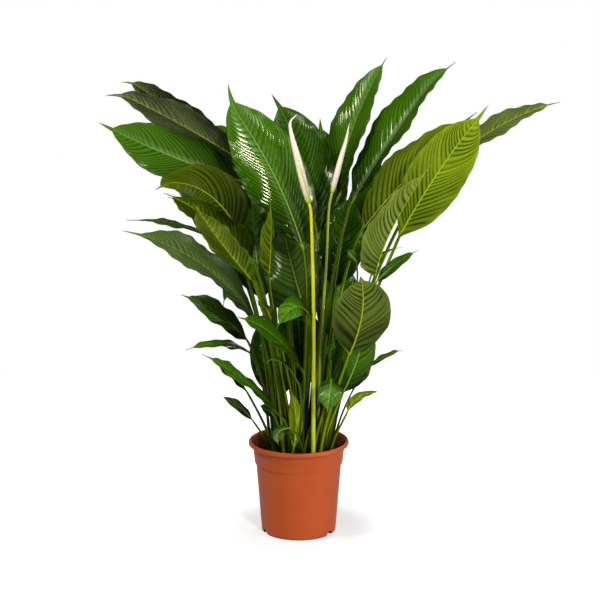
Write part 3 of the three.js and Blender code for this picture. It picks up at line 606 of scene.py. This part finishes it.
def spathe_mesh(flower):
    """The white sheet rolled round the spike, its free edge running up it in a slow turn."""
    path = smooth_curve(flower.spathe, SPATHE_RINGS)
    sides, ups = carried_frames(path, RIGHT, range(len(path)))
    t = np.linspace(0, 1, len(path))[:, None]
    swell = SPATHE_SWELL * np.sin(np.pi * np.minimum(1.0, 0.03 + 0.97 * t ** 0.7)) ** 0.8
    radius = flower.radii[1] * (1 - t) + flower.spathe_radius * swell
    radius[-1] = 0.0
    wind = np.concatenate([np.linspace(0, 1, SPATHE_SIDES + 1), [1.0]])
    turn = flower.wrap + SPATHE_TURN * t + 2 * np.pi * wind
    step = np.minimum(1.0, wind / EDGE_WIDTH) ** 0.5
    roll = 1 - ROLL_STEP + ROLL_STEP * step * (1 - 0.5 * (1 - wind) ** 2)
    roll[-1] = roll[0]
    size = radius * roll * (1 + RIB_HEIGHT * np.sin(RIB_COUNT * turn))
    rings = rings_round(path, sides, ups, size * np.cos(turn), size * np.sin(turn))
    rings[:, -1] = rings[:, 0]
    return ring_skin(flower.name + "_spathe", rings, {"place": layer(wind, t, 0.0)})


# ---------------------------------------------------------------- the pot and the soil

POT_PROFILE = [(0.0, 0.003), (0.0738, 0.003), (0.0758, 0.005), (0.087, 0.146), (0.09, 0.149),
               (0.0938, 0.1835), (0.0975, 0.19), (0.0993, 0.1946), (0.1016, 0.196),
               (0.1038, 0.1944), (0.105, 0.191), (0.1044, 0.1875), (0.102, 0.1855),
               (0.096, 0.1855), (0.0922, 0.149), (0.0892, 0.147), (0.078, 0.002),
               (0.076, 0.0), (0.0, 0.0)]
POT_STEPS = 144
POT_BEVEL = 0.0006
SHARP_EDGE = 32
NOTCH_ANGLES = (-154, -34, 86)
NOTCH_WIDTH = 0.020
NOTCH_HEIGHT = 0.010
NOTCH_RADIUS = 0.077
NOTCH_CUT_LENGTH = 0.02
NOTCH_CUT_DROP = 0.0005

SOIL_RADIUS = 0.0925
SOIL_ROWS = 70
SOIL_COLUMNS = 145
SOIL_SKIRT = 0.012
SWELL_HEIGHT = 0.0015
LUMP_HEIGHT = 0.0035
LUMP_SCALE = 90
CRUMB_SEED = 11
CRUMB_COUNT = 420
CRUMB_REACH = 0.088
CRUMB_SIZES = (0.0009, 0.0028)
CRUMB_STRETCH = (1.3, 1, 0.7)


def turned_mesh(name, profile, steps):
    """A closed skin turned round the upright axis from pairs of a radius and a height."""
    bm = bmesh.new()
    corners = [bm.verts.new((radius, 0, height)) for radius, height in profile]
    edges = [bm.edges.new(pair) for pair in zip(corners, corners[1:])]
    bmesh.ops.spin(bm, geom=corners + edges, cent=(0, 0, 0), axis=(0, 0, 1), angle=2 * math.pi,
                   steps=steps, use_merge=True)
    bmesh.ops.remove_doubles(bm, verts=bm.verts, dist=MERGE_DISTANCE)
    mesh = bpy.data.meshes.new(name)
    finish_skin(bm, mesh)
    return mesh


def notch_cutter():
    """A flattened drum across the foot's edge for each drain notch."""
    bm = bmesh.new()
    for angle in NOTCH_ANGLES:
        drum = bmesh.ops.create_cone(bm, cap_ends=True, segments=24, radius1=NOTCH_WIDTH / 2,
                                     radius2=NOTCH_WIDTH / 2, depth=NOTCH_CUT_LENGTH)["verts"]
        lie = Matrix.Rotation(math.pi / 2, 3, "Y")
        place = Matrix.Rotation(math.radians(angle), 3, "Z")
        bmesh.ops.scale(bm, vec=(NOTCH_HEIGHT * 2 / NOTCH_WIDTH, 1, 1), verts=drum)
        bmesh.ops.rotate(bm, cent=(0, 0, 0), matrix=lie, verts=drum)
        bmesh.ops.translate(bm, vec=(NOTCH_RADIUS, 0, -NOTCH_CUT_DROP), verts=drum)
        bmesh.ops.rotate(bm, cent=(0, 0, 0), matrix=place, verts=drum)
    mesh = bpy.data.meshes.new("notch_cutter")
    bm.to_mesh(mesh)
    bm.free()
    return mesh


def cut_mesh(mesh, cutter_mesh):
    """The first mesh less the second one."""
    body = bpy.data.objects.new("cut_body", mesh)
    cutter = bpy.data.objects.new("cut_tool", cutter_mesh)
    for thing in (body, cutter):
        bpy.context.scene.collection.objects.link(thing)
    cut = body.modifiers.new("cut", "BOOLEAN")
    cut.operation = "DIFFERENCE"
    cut.solver = "EXACT"
    cut.object = cutter
    bpy.context.view_layer.update()
    result = bpy.data.meshes.new_from_object(body.evaluated_get(bpy.context.evaluated_depsgraph_get()))
    for thing in (body, cutter):
        bpy.data.objects.remove(thing)
    return result


def pot_piece(material):
    mesh = cut_mesh(turned_mesh("pot_wall", POT_PROFILE, POT_STEPS), notch_cutter())
    piece = add_piece("pot_shell", mesh, "pot", material)
    bevel = piece.modifiers.new("soft edges", "BEVEL")
    bevel.width = POT_BEVEL
    bevel.segments = 2
    bevel.limit_method = "ANGLE"
    bevel.angle_limit = math.radians(SHARP_EDGE)


def soil_height(x, y):
    """The same long swell as the solid's top has, with small lumps on it."""
    swell = SWELL_HEIGHT * math.sin(x / MM / 9) * math.cos(y / MM / 11)
    lumps = noise.fractal(Vector((x, y, 0.3)) * LUMP_SCALE, 1.0, 2.0, 4)
    return SOIL_TOP + swell + LUMP_HEIGHT * lumps


def soil_mesh():
    """The lumpy top of the soil, with a short skirt down the pot's wall."""
    radii = np.concatenate([np.linspace(0.0, SOIL_RADIUS, SOIL_ROWS - 1), [SOIL_RADIUS]])
    rings = np.empty((SOIL_ROWS, SOIL_COLUMNS, 3))
    for k, radius in enumerate(radii):
        for c, angle in enumerate(np.linspace(0, 2 * np.pi, SOIL_COLUMNS)):
            x = radius * math.cos(angle)
            y = radius * math.sin(angle)
            rings[k, c] = (x, y, soil_height(x, y))
    rings[-1, :, 2] = SOIL_TOP - SOIL_SKIRT
    rings[:, -1] = rings[:, 0]
    return ring_skin("peat_surface", rings, {})


def crumb_mesh(chance):
    """Loose crumbs of peat, strewn evenly over the soil."""
    bm = bmesh.new()
    for _ in range(CRUMB_COUNT):
        angle = chance.uniform(0, 2 * math.pi)
        radius = CRUMB_REACH * math.sqrt(chance.random())
        x = radius * math.cos(angle)
        y = radius * math.sin(angle)
        size = chance.uniform(*CRUMB_SIZES)
        crumb = bmesh.ops.create_icosphere(bm, subdivisions=1, radius=size)["verts"]
        for vert in crumb:
            vert.co *= chance.uniform(0.7, 1.25)
        roll = Matrix.Rotation(chance.uniform(0, 3), 3, Vector((chance.random(), 1, 0.4)))
        bmesh.ops.rotate(bm, cent=(0, 0, 0), matrix=roll, verts=crumb)
        bmesh.ops.scale(bm, vec=CRUMB_STRETCH, verts=crumb)
        bmesh.ops.translate(bm, vec=(x, y, soil_height(x, y) + 0.3 * size), verts=crumb)
    mesh = bpy.data.meshes.new("peat_crumbs")
    bm.to_mesh(mesh)
    bm.free()
    return mesh


# ---------------------------------------------------------------- materials


def colour(red, green, blue):
    """A screen colour from 0 to 255 as the linear one that shaders take."""
    def linear(value):
        value /= 255
        return value / 12.92 if value <= 0.04045 else ((value + 0.055) / 1.055) ** 2.4
    return (linear(red), linear(green), linear(blue), 1.0)


# the upper side of a leaf; deep green is also the painted shade of leaves deep in the clump, the grey
# is dust and painted sheen, and the furrow and base greens are painted shade
DEEP_GREEN = colour(18, 46, 1)
FRESH_GREEN = colour(76, 134, 0)
MOTTLED_GREEN = colour(74, 128, 2)
DUST_AND_SHEEN_GREEN = colour(92, 104, 62)
FURROW_SHADE_GREEN = colour(12, 38, 1)
HEART_SHADE_GREEN = colour(6, 16, 1)
MIDRIB_ABOVE = colour(122, 160, 30)

# its underside, from the dullest to the most yellow one with the painted shade of each, a silver grey
# that is partly its own and partly a painted sheen, and the light that comes through
DULL_OLIVE = colour(58, 74, 8)
DULL_SHADE = colour(14, 22, 1)
LIME = colour(146, 174, 20)
LIME_SHADE = colour(26, 42, 0)
SILVER_GREEN = colour(124, 138, 96)
MOTTLED_OLIVE = colour(108, 128, 20)
MIDRIB_BELOW = colour(168, 178, 34)
LIT_GREEN = colour(110, 146, 8)
LIT_FURROW = colour(60, 84, 6)

# its stalk, with painted shade at its foot and a pale stripe that is partly a painted highlight
STEM_FOOT_SHADE = colour(18, 30, 2)
STEM_GREEN = colour(66, 98, 2)
STEM_RIDGE_AND_HIGHLIGHT = colour(150, 168, 4)
STEM_STREAK = colour(60, 76, 4)

GLINT_TINT = (1.0, 0.97, 0.72, 1.0)
LEAST_ROUGHNESS = 0.05
LEAST_GLOSS = 0.08
FINE_VEINS = 6.0
RIB_LINE_WIDTH = 0.0016
RIB_LINE_EDGE = 0.0008
THROUGH_SHARE = 0.16

# stretches of noise along a stem, a bud and the pot's wall
ALONG_STEM = (3, 3, 0.15)
ALONG_STALK = (4, 4, 0.3)
ALONG_SPATHE = (3, 3, 0.4)
ALONG_WALL = (1, 1, 0.12)

# the pot's outer wall runs from this radius at its foot, and widens by this much a metre up
WALL_FOOT_RADIUS = 0.0762
WALL_FLARE = 0.107


class Graph:
    """A material's node tree, with short calls to add and join nodes."""

    def __init__(self, tree):
        self.tree = tree

    def feed(self, node, key, value):
        if isinstance(value, bpy.types.NodeSocket):
            self.tree.links.new(value, node.inputs[key])
        else:
            node.inputs[key].default_value = value

    def math(self, operation, *values):
        node = self.tree.nodes.new("ShaderNodeMath")
        node.operation = operation
        for k, value in enumerate(values):
            self.feed(node, k, value)
        return node.outputs[0]

    def times(self, first, second):
        return self.math("MULTIPLY", first, second)

    def times_plus(self, first, second, third):
        return self.math("MULTIPLY_ADD", first, second, third)

    def rest_of(self, share):
        return self.math("SUBTRACT", 1.0, share)

    def band(self, value, low, high):
        """0 at low and 1 at high, smoothly."""
        node = self.tree.nodes.new("ShaderNodeMapRange")
        node.interpolation_type = "SMOOTHSTEP"
        self.feed(node, "Value", value)
        self.feed(node, "From Min", low)
        self.feed(node, "From Max", high)
        return node.outputs["Result"]

    def mix(self, share, first, second):
        """The two colours go in at the sockets that a colour mix has them at."""
        node = self.tree.nodes.new("ShaderNodeMix")
        node.data_type = "RGBA"
        self.feed(node, 0, share)
        self.feed(node, 6, first)
        self.feed(node, 7, second)
        return node.outputs[2]

    def wash(self, base, share, amount, tint):
        """The base with some of the tint over it, by the share of each place."""
        return self.mix(self.times(share, amount), base, tint)

    def three(self, vector):
        split = self.tree.nodes.new("ShaderNodeSeparateXYZ")
        self.feed(split, 0, vector)
        return split.outputs[:3]

    def parts(self, name):
        """The three numbers of one of the piece's own attributes."""
        source = self.tree.nodes.new("ShaderNodeAttribute")
        source.attribute_name = name
        return self.three(source.outputs["Vector"])

    def place(self):
        return self.tree.nodes.new("ShaderNodeTexCoord").outputs["Object"]

    def noise(self, scale, detail=3.0, stretch=(1, 1, 1)):
        mapping = self.tree.nodes.new("ShaderNodeMapping")
        self.feed(mapping, "Vector", self.place())
        self.feed(mapping, "Scale", stretch)
        node = self.tree.nodes.new("ShaderNodeTexNoise")
        self.feed(node, "Vector", mapping.outputs[0])
        self.feed(node, "Scale", scale)
        self.feed(node, "Detail", detail)
        return node.outputs["Fac"]

    def chance(self, number):
        """A random number from 0 to 1 for each whole number."""
        node = self.tree.nodes.new("ShaderNodeTexWhiteNoise")
        node.noise_dimensions = "1D"
        self.feed(node, "W", self.math("FLOOR", number))
        return node.outputs["Value"]

    def bump(self, height, strength, distance):
        node = self.tree.nodes.new("ShaderNodeBump")
        self.feed(node, "Strength", strength)
        self.feed(node, "Distance", distance)
        self.feed(node, "Height", height)
        return node.outputs["Normal"]


def new_material(name):
    material = bpy.data.materials.new(name)
    material.use_nodes = True
    tree = material.node_tree
    tree.nodes.clear()
    out = tree.nodes.new("ShaderNodeOutputMaterial")
    shader = tree.nodes.new("ShaderNodeBsdfPrincipled")
    tree.links.new(shader.outputs[0], out.inputs["Surface"])
    return material, Graph(tree), shader, out


def leaf_pattern(graph):
    """The numbers that a leaf's colours and gloss follow, from the attributes on its skin."""
    across, row, upper = graph.parts("place")
    vein, distance, stalk = graph.parts("lines")
    light, yellow, grey = graph.parts("tone")
    wave = graph.math("PINGPONG", vein, 0.5)
    fine = graph.math("PINGPONG", graph.times(vein, FINE_VEINS), 0.5)
    # heart_shade marks where painted shade darkens each leaf towards its base, deep in the clump
    return SimpleNamespace(
        across=across, row=row, upper=upper, vein=vein, distance=distance, stalk=stalk,
        light=light, yellow=yellow, grey=grey, reach=graph.math("ABSOLUTE", across),
        vein_line=graph.band(wave, 0.09, 0.02), furrow=graph.band(wave, 0.36, 0.03),
        fine_line=graph.band(fine, 0.3, 0.05), before_tip=graph.band(row, 1.0, 0.65),
        heart_shade=graph.band(row, 0.45, 0.0), mottle=graph.noise(22, 4))


def upper_side(graph, skin):
    base = graph.mix(skin.light, DEEP_GREEN, FRESH_GREEN)
    base = graph.wash(base, skin.mottle, 0.4, MOTTLED_GREEN)
    # a grey that is partly dust and partly a painted sheen
    base = graph.wash(base, skin.grey, 0.7, DUST_AND_SHEEN_GREEN)
    # painted shade in the furrows along the side veins
    base = graph.wash(base, graph.times(skin.furrow, skin.before_tip), 0.65, FURROW_SHADE_GREEN)
    # painted shade towards the leaf's base, deep in the clump
    return graph.wash(base, skin.heart_shade, 0.85, HEART_SHADE_GREEN)


def underside(graph, skin):
    """Painted shade in the furrows at the side veins, stronger in some clouds, and towards the base, with
    strips a little unlike each other.
    """
    base = graph.mix(skin.yellow, DULL_OLIVE, LIME)
    # a silver grey, partly the leaf's own and partly a painted sheen
    base = graph.mix(skin.grey, base, SILVER_GREEN)
    base = graph.wash(base, skin.mottle, 0.25, MOTTLED_OLIVE)
    shade = graph.mix(skin.yellow, DULL_SHADE, LIME_SHADE)
    cloud = graph.band(graph.noise(9, 2), 0.3, 0.7)
    ribbed = graph.times(graph.times_plus(cloud, 0.6, 0.4), graph.band(skin.reach, 1.0, 0.7))
    ribbed = graph.times(ribbed, skin.before_tip)
    base = graph.wash(base, graph.chance(skin.vein), 0.3, shade)
    # painted shade in the furrows along the side veins
    base = graph.wash(base, skin.furrow, ribbed, shade)
    # painted shade towards the leaf's base on the underside too
    base = graph.wash(base, skin.heart_shade, graph.times_plus(skin.yellow, -0.5, 0.75), shade)
    return graph.wash(base, skin.fine_line, 0.15, shade)


def midrib_line(graph, skin):
    """1 on the midrib, which narrows towards the tip."""
    width = graph.times(graph.rest_of(skin.row), RIB_LINE_WIDTH)
    line = graph.band(skin.distance, graph.math("ADD", width, RIB_LINE_EDGE), graph.times(width, 0.6))
    return graph.times(line, graph.band(skin.row, 1.0, 0.82))


def stem_colour(graph, skin):
    """Painted shade at the foot, and a pale stripe, partly the sheath's own pale edge and partly a painted
    highlight, stronger on some stems than on others.
    """
    # painted shade darkens the stalk towards the soil
    base = graph.mix(graph.band(skin.row, -0.9, -0.15), STEM_FOOT_SHADE, STEM_GREEN)
    # a pale stripe: partly the sheath's own pale edge, partly a painted highlight
    ridge_and_highlight = graph.band(graph.math("ABSOLUTE", graph.math("SUBTRACT", skin.across, 0.15)), 0.7, 0.1)
    base = graph.wash(base, ridge_and_highlight, graph.times_plus(skin.vein, 0.85, 0.15), STEM_RIDGE_AND_HIGHLIGHT)
    return graph.wash(base, graph.noise(50, 3, ALONG_STEM), 0.25, STEM_STREAK)


def leaf_roughness(graph, skin):
    """Smooth on the upper side, and rougher by the midrib, the margin and the tip."""
    rough = LEAST_ROUGHNESS
    for share, amount in (
            (graph.rest_of(skin.upper), 0.25),
            (skin.mottle, 0.06),
            (graph.rest_of(graph.band(skin.reach, 1.0, 0.8)), 0.3),
            (skin.grey, 0.35),
            (graph.band(skin.light, 0.8, 1.0), 0.25),
            (graph.band(skin.distance, 0.014, 0.004), 0.3),
            (graph.band(skin.row, 0.55, 0.8), 0.2),
            (graph.band(skin.across, 0.1, 0.6), 0.1)):
        rough = graph.times_plus(share, amount, rough)
    return rough


def leaf_gloss(graph, skin):
    """Fresh upper sides shine, but the palest young ones less. Undersides and stalks are dull."""
    strength = graph.times_plus(graph.band(skin.light, 0.8, 1.0), -0.3, 0.45)
    glossy = graph.times(skin.upper, graph.rest_of(skin.stalk))
    return graph.times_plus(glossy, graph.times(skin.light, strength), LEAST_GLOSS)


def leaf_bump(graph, skin):
    height = graph.times(skin.vein_line, -0.6)
    height = graph.times_plus(skin.fine_line, -0.08, height)
    height = graph.times_plus(graph.noise(420, 2), 0.08, height)
    return graph.bump(height, 0.13, 0.0005)


def leaf_material():
    material, graph, shader, out = new_material("peace lily leaf")
    skin = leaf_pattern(graph)
    lamina = graph.mix(skin.upper, underside(graph, skin), upper_side(graph, skin))
    midrib = graph.mix(skin.upper, MIDRIB_BELOW, MIDRIB_ABOVE)
    lamina = graph.wash(lamina, midrib_line(graph, skin), 0.85, midrib)
    normal = leaf_bump(graph, skin)
    graph.feed(shader, "Base Color",
               graph.mix(graph.band(skin.stalk, 0.15, 0.9), lamina, stem_colour(graph, skin)))
    graph.feed(shader, "Roughness", leaf_roughness(graph, skin))
    graph.feed(shader, "Specular IOR Level", leaf_gloss(graph, skin))
    graph.feed(shader, "Specular Tint", GLINT_TINT)
    graph.feed(shader, "Normal", normal)

    through = graph.tree.nodes.new("ShaderNodeBsdfTranslucent")
    graph.feed(through, "Color", graph.wash(LIT_GREEN, skin.furrow, 0.5, LIT_FURROW))
    graph.feed(through, "Normal", normal)
    blend = graph.tree.nodes.new("ShaderNodeMixShader")
    graph.feed(blend, 0, THROUGH_SHARE)
    graph.feed(blend, 1, shader.outputs[0])
    graph.feed(blend, 2, through.outputs[0])
    graph.feed(out, "Surface", blend.outputs[0])
    return material


def flower_stalk_material():
    """Yellow-green on the fresh bud's stalk and olive on the ripe one's, paler towards the top."""
    material, graph, shader, _ = new_material("flower stalk")
    _, up, ripe = graph.parts("place")
    fresh = graph.mix(up, colour(160, 176, 8), colour(226, 224, 8))
    olive = graph.mix(up, colour(92, 116, 16), colour(150, 160, 40))
    base = graph.mix(ripe, fresh, olive)
    base = graph.wash(base, graph.noise(70, 3, ALONG_STALK), 0.4, colour(120, 140, 20))
    graph.feed(shader, "Base Color", base)
    graph.feed(shader, "Roughness", 0.38)
    graph.feed(shader, "Normal", graph.bump(graph.noise(240, 3, ALONG_STALK), 0.25, 0.0004))
    return material


def spathe_material():
    """Cream, pinkish grey low down, with a green stripe along the free edge and a green foot."""
    material, graph, shader, _ = new_material("rolled spathe")
    wind, up, _ = graph.parts("place")
    cream = graph.mix(graph.noise(40, 3), colour(214, 200, 184), colour(234, 226, 214))
    cream = graph.wash(cream, graph.band(up, 0.35, 0.0), 0.5, colour(206, 176, 166))
    stripe = graph.times(graph.band(wind, 0.16, 0.04), graph.band(up, 0.65, 0.35))
    cream = graph.wash(cream, stripe, 0.85, colour(168, 178, 50))
    cream = graph.mix(graph.band(up, 0.12, 0.02), cream, colour(176, 184, 50))
    graph.feed(shader, "Base Color", cream)
    graph.feed(shader, "Roughness", 0.45)
    graph.feed(shader, "Normal", graph.bump(graph.noise(200, 3, ALONG_SPATHE), 0.2, 0.0004))
    return material


def inner_wall(graph, x, y, height):
    """1 on the pot's inner wall: within the outer wall's line at the collar, and within the rim."""
    radius = graph.math("SQRT", graph.math("ADD", graph.times(x, x), graph.times(y, y)))
    wall = graph.times_plus(height, WALL_FLARE, WALL_FOOT_RADIUS)
    below = graph.band(graph.math("SUBTRACT", radius, wall), -0.0008, -0.0016)
    below = graph.times(below, graph.band(height, 0.15, 0.155))
    above = graph.times(graph.band(radius, 0.0985, 0.0965), graph.band(height, 0.1855, 0.187))
    return graph.math("MAXIMUM", below, above)


def pot_material():
    """Terracotta-coloured plastic, with painted shade on its inner wall and a painted contact shadow round
    its foot.
    """
    material, graph, shader, _ = new_material("terracotta nursery plastic")
    x, y, height = graph.three(graph.place())
    cloud = graph.noise(14, 4)
    base = graph.mix(cloud, colour(160, 64, 20), colour(174, 76, 28))
    base = graph.wash(base, graph.noise(30, 3, ALONG_WALL), 0.25, colour(150, 56, 24))
    # painted shade on the pot's inner wall
    base = graph.wash(base, inner_wall(graph, x, y, height), 0.8, colour(84, 24, 8))
    # a painted contact shadow round the pot's foot
    base = graph.wash(base, graph.band(height, 0.004, 0.0005), 0.8, colour(60, 20, 10))
    graph.feed(shader, "Base Color", base)
    graph.feed(shader, "Roughness", graph.times_plus(cloud, 0.15, 0.42))
    graph.feed(shader, "Specular IOR Level", 0.25)
    graph.feed(shader, "Sheen Weight", 0.25)
    graph.feed(shader, "Sheen Tint", colour(255, 190, 180))
    graph.feed(shader, "Sheen Roughness", 0.35)
    graph.feed(shader, "Normal", graph.bump(graph.noise(900, 2), 0.12, 0.0002))
    return material


def peat_material():
    material, graph, shader, _ = new_material("peat")
    crumbs = graph.band(graph.noise(300, 5), 0.35, 0.7)
    graph.feed(shader, "Base Color", graph.mix(crumbs, colour(20, 12, 6), colour(66, 42, 24)))
    graph.feed(shader, "Roughness", 0.95)
    graph.feed(shader, "Specular IOR Level", 0.0)
    graph.feed(shader, "Normal", graph.bump(graph.noise(700, 5), 0.9, 0.0012))
    return material


# ---------------------------------------------------------------- floor, light and camera

FLOOR_REACH = 1.3
FLOOR_GREY = (0.49, 0.5, 0.53, 1)
FOOT_GLOW = 0.43
GLOW_RADII = (0.11, 0.26)

FILL_LIGHT = 0.035
FILL_COLOUR = (1, 0.95, 0.75, 1)
WHITE = (1, 1, 1, 1)
WARM_LAMP = (1.0, 0.98, 0.9)
PLAIN_LAMP = (1, 1, 1)

# what the lamps aim at
BLADES = (0, 0, 0.7)
HEART = (0, 0, 0.6)
STEMS = (0, 0, 0.3)

CAMERA_PLACE = (0.0027, -3.3776, 1.216)
CAMERA_DROP = 12.07
LENS_LENGTH = 100.8
SENSOR_WIDTH = 36.0


def floor():
    """A white sheet that glows to the camera, less so round the pot, whose soft shadow shows there."""
    bm = bmesh.new()
    bmesh.ops.create_grid(bm, x_segments=1, y_segments=1, size=FLOOR_REACH)
    mesh = bpy.data.meshes.new("studio_floor")
    bm.to_mesh(mesh)
    bm.free()
    piece = bpy.data.objects.new("studio_floor", mesh)
    bpy.context.scene.collection.objects.link(piece)
    material, graph, shader, _ = new_material("studio floor")
    seen = graph.tree.nodes.new("ShaderNodeLightPath").outputs["Is Camera Ray"]
    away = graph.tree.nodes.new("ShaderNodeVectorMath")
    away.operation = "LENGTH"
    graph.feed(away, 0, graph.place())
    glow = graph.times_plus(graph.band(away.outputs["Value"], *GLOW_RADII), 1 - FOOT_GLOW, FOOT_GLOW)
    graph.feed(shader, "Base Color", FLOOR_GREY)
    graph.feed(shader, "Roughness", 0.9)
    graph.feed(shader, "Specular IOR Level", 0.0)
    graph.feed(shader, "Emission Color", WHITE)
    graph.feed(shader, "Emission Strength", graph.times(seen, glow))
    mesh.materials.append(material)


def soft_box(name, place, aim, size, power, tint):
    lamp = bpy.data.lights.new(name, "AREA")
    lamp.shape = "RECTANGLE"
    lamp.size = size[0]
    lamp.size_y = size[1]
    lamp.energy = power
    lamp.color = tint
    thing = bpy.data.objects.new(name, lamp)
    thing.location = place
    thing.rotation_euler = (Vector(aim) - Vector(place)).to_track_quat("-Z", "Y").to_euler()
    bpy.context.scene.collection.objects.link(thing)


def studio():
    """White to the eye all round, with most of the light from a few soft boxes."""
    world = bpy.data.worlds.new("studio")
    world.use_nodes = True
    sky = world.node_tree.nodes["Background"]
    graph = Graph(world.node_tree)
    seen = graph.tree.nodes.new("ShaderNodeLightPath").outputs["Is Camera Ray"]
    graph.feed(sky, "Color", graph.mix(seen, FILL_COLOUR, WHITE))
    graph.feed(sky, "Strength", graph.times_plus(seen, 1.0 - FILL_LIGHT, FILL_LIGHT))
    bpy.context.scene.world = world
    bpy.context.scene.view_settings.view_transform = "Standard"
    soft_box("left top", (-1.6, -0.9, 2.8), BLADES, (0.6, 0.6), 60, WARM_LAMP)
    soft_box("right front", (1.0, -2.65, 1.85), BLADES, (0.4, 0.35), 68, WARM_LAMP)
    soft_box("front", (0.15, -3.1, 0.85), BLADES, (0.4, 0.35), 3, PLAIN_LAMP)
    soft_box("left front", (-1.6, -2.2, 1.2), HEART, (0.9, 0.9), 13, WARM_LAMP)
    soft_box("left low", (-1.2, -2.7, 0.4), BLADES, (0.3, 0.4), 6, PLAIN_LAMP)
    soft_box("right low", (2.2, -1.2, 0.6), STEMS, (0.5, 0.8), 40, PLAIN_LAMP)
    soft_box("back", (0.9, 1.9, 1.9), HEART, (1.0, 0.8), 22, PLAIN_LAMP)


def camera():
    lens = bpy.data.cameras.new("photo_camera")
    lens.lens = LENS_LENGTH
    lens.sensor_width = SENSOR_WIDTH
    eye = bpy.data.objects.new("photo_camera", lens)
    eye.location = CAMERA_PLACE
    eye.rotation_euler = (math.radians(90 - CAMERA_DROP), 0, 0)
    bpy.context.scene.collection.objects.link(eye)
    bpy.context.scene.camera = eye


def build():
    leaf_finish = leaf_material()
    for blade in LEAVES:
        add_piece(blade.name + "_grown", leaf_mesh(blade), blade.name, leaf_finish)
    stalk_finish = flower_stalk_material()
    spathe_finish = spathe_material()
    for flower in (FLOWER_1, FLOWER_2):
        stalk = flower.name + "_stalk"
        spathe = flower.name + "_spathe"
        add_piece(flower.name + "_stem", flower_stalk_mesh(flower), stalk, stalk_finish)
        add_piece(flower.name + "_roll", spathe_mesh(flower), spathe, spathe_finish)
    pot_piece(pot_material())
    peat_finish = peat_material()
    add_piece("peat_top", soil_mesh(), "soil", peat_finish)
    add_piece("peat_crumb", crumb_mesh(random.Random(CRUMB_SEED)), None, peat_finish)
    floor()
    studio()
    camera()


build()
